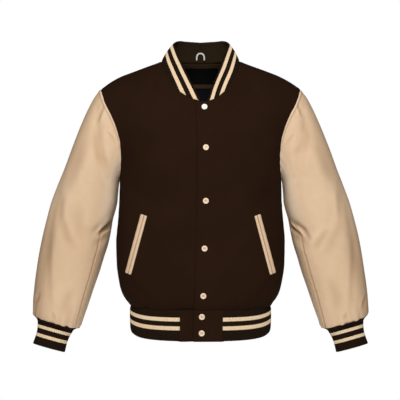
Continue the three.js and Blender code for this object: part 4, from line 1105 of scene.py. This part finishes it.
def stitches(name, line, ways):
    """Merges a row of stitches along a line of points. ways are the outward normals there."""
    reached = lengths_of(line, 0)
    count = int(reached[-1] / STITCH_PITCH)
    at = (np.arange(count) + 0.5) * STITCH_PITCH
    place, out = read_along(line, reached, at), unit(read_along(ways, reached, at))
    along = unit(read_along(line, reached, at + 0.5) - read_along(line, reached, at - 0.5))
    side = unit(np.cross(along, out))
    shape = np.array(STITCH_SHAPE)
    turn = 2 * np.pi * np.arange(STITCH_SIDES) / STITCH_SIDES
    uneven = 1 + 0.06 * np.sin(np.arange(count) * 2.3)
    x = (shape[:, 0] * STITCH_LENGTH)[None, :, None, None] * uneven[:, None, None, None]
    y = (STITCH_THICK * shape[:, 1, None] * np.cos(turn))[None, :, :, None]
    z = (STITCH_THICK * shape[:, 1, None] * np.sin(turn))[None, :, :, None]
    rings = place[:, None, None] + along[:, None, None] * x
    rings = rings + side[:, None, None] * y + out[:, None, None] * z
    rows = len(shape)
    index = np.arange(count * rows * STITCH_SIDES).reshape(count, rows, STITCH_SIDES)
    after = np.roll(index, -1, 2)
    quads = np.stack([index[:, :-1], after[:, :-1], after[:, 1:], index[:, 1:]], -1).reshape(-1, 4)
    ends = np.concatenate([index[:, 0, ::-1], index[:, -1]])
    points = leaned(rings.reshape(-1, 3))
    return mesh_from(name, points, [quads, ends], points[:, [0, 2]])


def thread_row(name, line, ways):
    """A row of stitches that rides on the jacket with the leather."""
    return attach(stitches(name, line, ways), "root")


threads = []
SEAM_ROWS = [("front", "sleeve_top", 2), ("front_low", "sleeve_under", -3), ("back", "sleeve_top", -3)]
for side, right in SIDES.items():
    for seam, node, column in SEAM_ROWS:
        grid = sleeve_outer[f"{node}_{side}"]
        ways = normals_of(grid)
        at = (slice(4, -3), -1 - column if right else column)
        threads.append(thread_row(f"{seam}_seam_thread_{side}", grid[at] + 0.1 * ways[at], ways[at]))
lip_share = np.linspace(0.03, 0.97, 60)
lip_line = lip_point(lip_share, np.full(60, LIP_STITCHES), np.full(60, POCKET_HEIGHT + 0.75))
lip_ways = front_normal(*np.moveaxis(lip_line[:, [0, 2]], -1, 0))
for side, right in SIDES.items():
    flip = np.array([-1 if right else 1, 1, 1])
    threads.append(thread_row(f"lip_thread_{side}", lip_line * flip, lip_ways * flip))
print("stitch rows:", len(threads))

# %% [markdown]
# Materials are networks of nodes. Two small helpers keep them readable: a number in the shader that
# Python's operators work on, and one method that adds any node.


# %% Shader helpers
def math_of(operation):
    """A method that adds a Math node of an operation."""
    return lambda self, other: self.math(operation, other)


class Val:
    """A number in a shader. Python's operators on it add Math nodes."""

    def __init__(self, shader, socket):
        self.shader, self.socket = shader, socket

    def math(self, operation, *others):
        """Adds a Math node of an operation, with this number first."""
        values = dict(enumerate([self, *others]))
        return Val(self.shader, self.shader.node("Math", {"operation": operation}, values).outputs[0])

    def __rsub__(self, other):
        return self.math("MULTIPLY_ADD", -1, other)

    __add__ = __radd__ = math_of("ADD")
    __sub__, __mul__, __truediv__ = math_of("SUBTRACT"), math_of("MULTIPLY"), math_of("DIVIDE")
    __gt__, __lt__ = math_of("GREATER_THAN"), math_of("LESS_THAN")

    def step(self, start, end):
        """0 before start, 1 after end, an S-curve between."""
        limits = {"From Min": start, "From Max": end}
        made = self.shader.node("MapRange", {"interpolation_type": "SMOOTHSTEP"}, {"Value": self, **limits})
        return Val(self.shader, made.outputs[0])


def srgb(*screen):
    """Linear colour from its values on a screen, 0 to 255."""
    v = np.array(screen) / 255
    linear = np.where(v <= 0.04045, v / 12.92, ((v + 0.055) / 1.055) ** 2.4)
    return (*(float(c) for c in linear), 1.0)


class Shader:
    """One material being built, with its surface node."""

    def __init__(self, name, constants):
        self.material = bpy.data.materials.new(name)
        self.material.use_nodes = True
        self.tree = self.material.node_tree
        self.surface = self.tree.nodes["Principled BSDF"]
        for key, value in constants.items():
            self.surface.inputs[key].default_value = value
        self.flat = self.node("UVMap", {"uv_map": "cloth"}, {}).outputs[0]
        self.place = self.node("TexCoord", {}, {}).outputs["Object"]

    def node(self, kind, settings, inputs):
        """Adds a node of a kind, sets it up, and fills or links its inputs."""
        made = self.tree.nodes.new(f"ShaderNode{kind}")
        for key, value in settings.items():
            setattr(made, key, value)
        for key, value in inputs.items():
            value = value.socket if isinstance(value, Val) else value
            if isinstance(value, bpy.types.NodeSocket):
                self.tree.links.new(value, made.inputs[key])
            else:
                made.inputs[key].default_value = value
        return made

    def noise(self, scale, detail=2.0):
        """Soft noise of a scale in lumps per metre, about 0.5 on average."""
        values = {"Vector": self.place, "Scale": scale, "Detail": detail}
        return Val(self, self.node("TexNoise", {}, values).outputs[0])

    def grain(self, scale):
        """Distance to the nearest pebble's middle, at a scale in pebbles per metre."""
        made = self.node("TexVoronoi", {}, {"Vector": self.place, "Scale": scale})
        return Val(self, made.outputs["Distance"])

    def attribute(self, name):
        """A value that each point of the mesh carries."""
        return Val(self, self.node("Attribute", {"attribute_name": name}, {}).outputs["Fac"])

    def flat_place(self):
        """Place on the flat cloth: across and down, in metres."""
        parts = self.node("SeparateXYZ", {}, {0: self.flat})
        return Val(self, parts.outputs[0]), Val(self, parts.outputs[1])

    def blend(self, share, a, b):
        """Colour a where share is 0, b where it is 1."""
        return self.node("Mix", {"data_type": "RGBA"}, {0: share, 6: a, 7: b}).outputs[2]

    def bump(self, height, depth):
        """Bump from a height of 0 to 1 that stands for a depth in millimetres."""
        made = self.node("Bump", {}, {"Height": height, "Distance": depth * MM})
        self.link("Normal", made.outputs[0])

    def link(self, name, value):
        """Feeds a varying value to the surface."""
        socket = value.socket if isinstance(value, Val) else value
        self.tree.links.new(socket, self.surface.inputs[name])

    def dress(self, *nodes):
        """Gives this material to the pieces of some nodes."""
        for node in nodes:
            made[node].data.materials.append(self.material)


# %% [markdown]
# Melton wool is felted, so its weave is hidden under short matted fibres. Its colour is almost even.

# %% Wool
wool = Shader("wool", {"Roughness": 0.95, "Specular IOR Level": 0.05})
felt = wool.noise(900, 3.0)
cloudy = wool.noise(9)
wool_tone = (felt * 0.6 + cloudy * 0.4).step(0.25, 0.75)
wool.link("Base Color", wool.blend(wool_tone, srgb(34, 19, 10), srgb(42, 25, 14)))
wool.bump(felt * 0.7 + wool.noise(320) * 0.3, 0.5)
wool.dress("front_left", "front_right", "back", "hem_tab_left", "hem_tab_right")
facing = Shader("facing_wool", {"Roughness": 0.95, "Specular IOR Level": 0.05})
facing.link("Base Color", facing.blend(facing.noise(300, 3.0), srgb(50, 36, 22), srgb(70, 52, 34)))
facing.dress("neck_facing")

# %% [markdown]
# The leather is smooth cowhide in pale tan: a fine grain of pebbles, and a tone that drifts a little.
# Its colour also carries painted shade in folds, seams and pocket slits, and painted highlight on ridges.

# %% Leather
leather = Shader("leather", {"Specular IOR Level": 0.22})
drift = leather.noise(5, 3.0)
pebbles = leather.grain(1100)
leather_tone = (drift * 0.8 + leather.noise(60) * 0.2).step(0.3, 0.72)
tan = leather.blend(leather_tone, srgb(211, 179, 145), srgb(223, 192, 158))
# Painted shade blends the tan towards dark brown in folds, seams and slits; painted highlight blends it
# towards pale cream on ridges and lips.
painted_shading = leather.attribute("painted_shading")
tan = leather.blend(painted_shading * 0.6, tan, srgb(140, 98, 60))
leather.link("Base Color", leather.blend(painted_shading * -0.6, tan, srgb(250, 226, 198)))
leather.link("Roughness", 0.46 + leather.noise(40) * 0.16)
leather.bump(pebbles * 0.6 + leather.noise(2200) * 0.25 + leather.noise(150) * 0.15, 0.35)
leather.dress(*(node for node in made if node.startswith(("sleeve", "pocket"))))
thread_look = Shader("thread", {"Roughness": 0.6, "Base Color": srgb(205, 168, 128)})
for thread in threads:
    thread.data.materials.append(thread_look.material)

# %% [markdown]
# The rib knit is near black. Its stripes are knitted in, so they follow the cloth: each band of the
# flat knit between two lines is cream, on the outside of the fold only.

# %% Rib knit
STITCH_ROW = 1.5


def rib_material(name, stripes):
    """Rib knit with stripes, each from one distance to another, in millimetres down the flat band."""
    shader = Shader(name, {"Roughness": 0.9, "Specular IOR Level": 0.05})
    across, down = shader.flat_place()
    ragged = down + (shader.noise(700, 1.0) - 0.5) * (0.8 * MM)
    share = 0
    for start, end in stripes:
        share = share + (ragged > start * MM) * (ragged < end * MM)
    dark = shader.blend(shader.noise(500), srgb(25, 16, 8), srgb(42, 30, 19))
    cream = shader.blend(shader.noise(500), srgb(240, 206, 164), srgb(254, 230, 196))
    inside = shader.attribute("inside") > 0.5
    dark = shader.blend(inside, dark, srgb(46, 34, 21))
    shader.link("Base Color", shader.blend(share * (1 - inside), dark, cream))
    chevron = (across / (RIB_PITCH * MM)).math("FRACT").math("SUBTRACT", 0.5).math("ABSOLUTE")
    rows = ((down / (STITCH_ROW * MM) + chevron * 1.4) * (2 * np.pi)).math("SINE")
    shader.bump(rows * 0.5 + 0.5, 0.45)
    return shader


rib_material("hem_rib_knit", [(16.4, 25.4), (36.8, 46.0)]).dress("hem_band")
rib_material("cuff_rib_knit", [(19.7, 27.2), (39.5, 47.1)]).dress("cuff_left", "cuff_right")
rib_material("collar_rib_knit", [(4.0, 12.8), (24.1, 32.9)]).dress("collar")

# %% [markdown]
# Inside are black satin, a bare woven label and a pale tape. The snaps are enamelled, with a tan middle.

# %% Satin, label, tape and enamel
satin = Shader("satin", {"Roughness": 0.42, "Specular IOR Level": 0.2, "Base Color": srgb(14, 14, 21)})
satin.bump(satin.noise(160), 0.3)
satin.dress("lining")
label = Shader("label", {"Roughness": 0.8, "Specular IOR Level": 0.1, "Base Color": srgb(6, 5, 7)})
weave_across, weave_down = label.flat_place()
weave = (weave_across * 9000).math("SINE") * (weave_down * 9000).math("SINE")
label.bump(weave * 0.5 + 0.5, 0.1)
label.dress("label")
tape = Shader("tape", {"Roughness": 0.45, "Base Color": srgb(214, 211, 205)})
tape_across, _ = tape.flat_place()
tape.bump((tape_across * 7000).math("SINE") * 0.5 + 0.5, 0.1)
tape.dress("hanger_loop")


def enamel(name, dish, rim):
    """Enamel with a dished middle of one colour and a rim of another."""
    shader = Shader(name, {"Roughness": 0.3, "Coat Weight": 0.3})
    from_middle, _ = shader.flat_place()
    shader.link("Base Color", shader.blend(from_middle.step(2.4 * MM, 3.8 * MM), dish, rim))
    return shader


enamel("white_enamel", srgb(236, 226, 208), srgb(250, 246, 236)).dress("snap_front_1")
cream_enamel = enamel("cream_enamel", srgb(206, 168, 130), srgb(238, 214, 184))
cream_enamel.dress(*(f"snap_{snap}" for snap in SNAPS[1:]))

# %% [markdown]
# Each cloth piece is listed with the size that it is cut to, before it is sewn. The sizes are in
# metres, with the flat area where the cut isn't a rectangle. They are what shows, all round a tube.
# Only the flat areas are used here: they are added up and printed.

# %% Cuts
CUTS = {
    "front_left": (0.298, 0.715, 0.152, "hung"),
    "front_right": (0.299, 0.723, 0.163, "hung"),
    "back": (0.564, 0.664, 0.311, "hung"),
    "sleeve_top_left sleeve_top_right": (0.478, 0.58, 0.179, "hung"),
    "sleeve_under_left sleeve_under_right": (0.142, 0.447, 0.0484, "hung"),
    "hem_band": (0.84, 0.07, 0.0588, "stretched"),
    "cuff_left cuff_right": (0.251, 0.065, 0.0163, "stretched"),
    "collar": (0.617, 0.058, 0.027, "stretched"),
    "hem_tab_left hem_tab_right": (0.073, 0.0715, 0.0052, "hung"),
    "lining": (0.527, 0.624, 0.284, "hung"),
    "neck_facing": (0.165, 0.079, 0.0115, "laid"),
    "label": (0.094, 0.044, 0.0041, "laid"),
    "pocket_outer_left pocket_outer_right": (0.0141, 0.143, 0.002, "laid"),
    "pocket_inner_left pocket_inner_right": (0.0106, 0.142, 0.0015, "laid"),
}
total = 0
for nodes, (width, length, area, held) in CUTS.items():
    for node in nodes.split():
        total += area
print("cloth cut, square metres:", round(total, 3))

# %% [markdown]
# The camera stands where the photograph's did: level with the chest, 2.4 m in front.

# %% Camera, floor and light
CAMERA_DISTANCE, CAMERA_Z, CAMERA_X = 2.4, -0.338, -0.00122
MM_PER_PIXEL, PICTURE, SENSOR = 2.44, 400, 36
camera_data = bpy.data.cameras.new("camera")
camera_data.sensor_width = SENSOR
camera_data.lens = SENSOR * CAMERA_DISTANCE / (MM_PER_PIXEL * PICTURE * MM)
camera = bpy.data.objects.new("camera", camera_data)
camera.location = (CAMERA_X, -CAMERA_DISTANCE, CAMERA_Z)
camera.rotation_euler = (np.pi / 2, 0, 0)
bpy.context.collection.objects.link(camera)
bpy.context.scene.camera = camera


def softbox(name, place, aim, size, power):
    """A square area light at a place, turned towards a point."""
    data = bpy.data.lights.new(name, "AREA")
    data.shape, data.size, data.energy = "SQUARE", size, power
    lamp = bpy.data.objects.new(name, data)
    lamp.location = place
    way = np.array(aim, dtype=float) - np.array(place)
    tilt = np.arctan2(np.hypot(way[0], way[1]), -way[2])
    lamp.rotation_euler = (tilt, 0, np.arctan2(way[0], -way[1]) + np.pi)
    bpy.context.collection.objects.link(lamp)


softbox("key", (-0.4, -2.5, 1.35), (0, 0, -0.1), 1.1, 58)
softbox("fill", (0.6, -2.7, 0.9), (0, 0, -0.1), 1.1, 28)
softbox("behind", (0, 2.8, 0.3), (0, 0, -0.3), 0.9, 60)

# The white behind the jacket lights it only faintly.
SKY_LIGHT, SKY_SEEN = 0.1, 1.0
world = bpy.data.worlds.new("studio")
world.use_nodes = True
bpy.context.scene.world = world
world_tree = world.node_tree
world_tree.nodes.clear()
kinds = ("Background", "Background", "LightPath", "MixShader", "OutputWorld")
sky, seen, ray, both, world_out = (world_tree.nodes.new(f"ShaderNode{kind}") for kind in kinds)
for white, strength in ((sky, SKY_LIGHT), (seen, SKY_SEEN)):
    white.inputs["Color"].default_value = (1, 1, 1, 1)
    white.inputs["Strength"].default_value = strength
world_tree.links.new(ray.outputs["Is Camera Ray"], both.inputs[0])
world_tree.links.new(sky.outputs[0], both.inputs[1])
world_tree.links.new(seen.outputs[0], both.inputs[2])
world_tree.links.new(both.outputs[0], world_out.inputs["Surface"])

bpy.context.scene.view_settings.view_transform = "Standard"

FLOOR_Z, FLOOR_RADIUS = -1.46, 2.7
floor_at = (0, 0, FLOOR_Z)
bpy.ops.mesh.primitive_circle_add(vertices=96, radius=FLOOR_RADIUS, fill_type="NGON", location=floor_at)
floor = bpy.context.object
floor.name = "floor"
pale = {"Base Color": srgb(248, 248, 248), "Emission Color": srgb(255, 255, 255), "Emission Strength": 0.15}
floor.data.materials.append(Shader("floor", {"Roughness": 0.9, "Specular IOR Level": 0.1, **pale}).material)
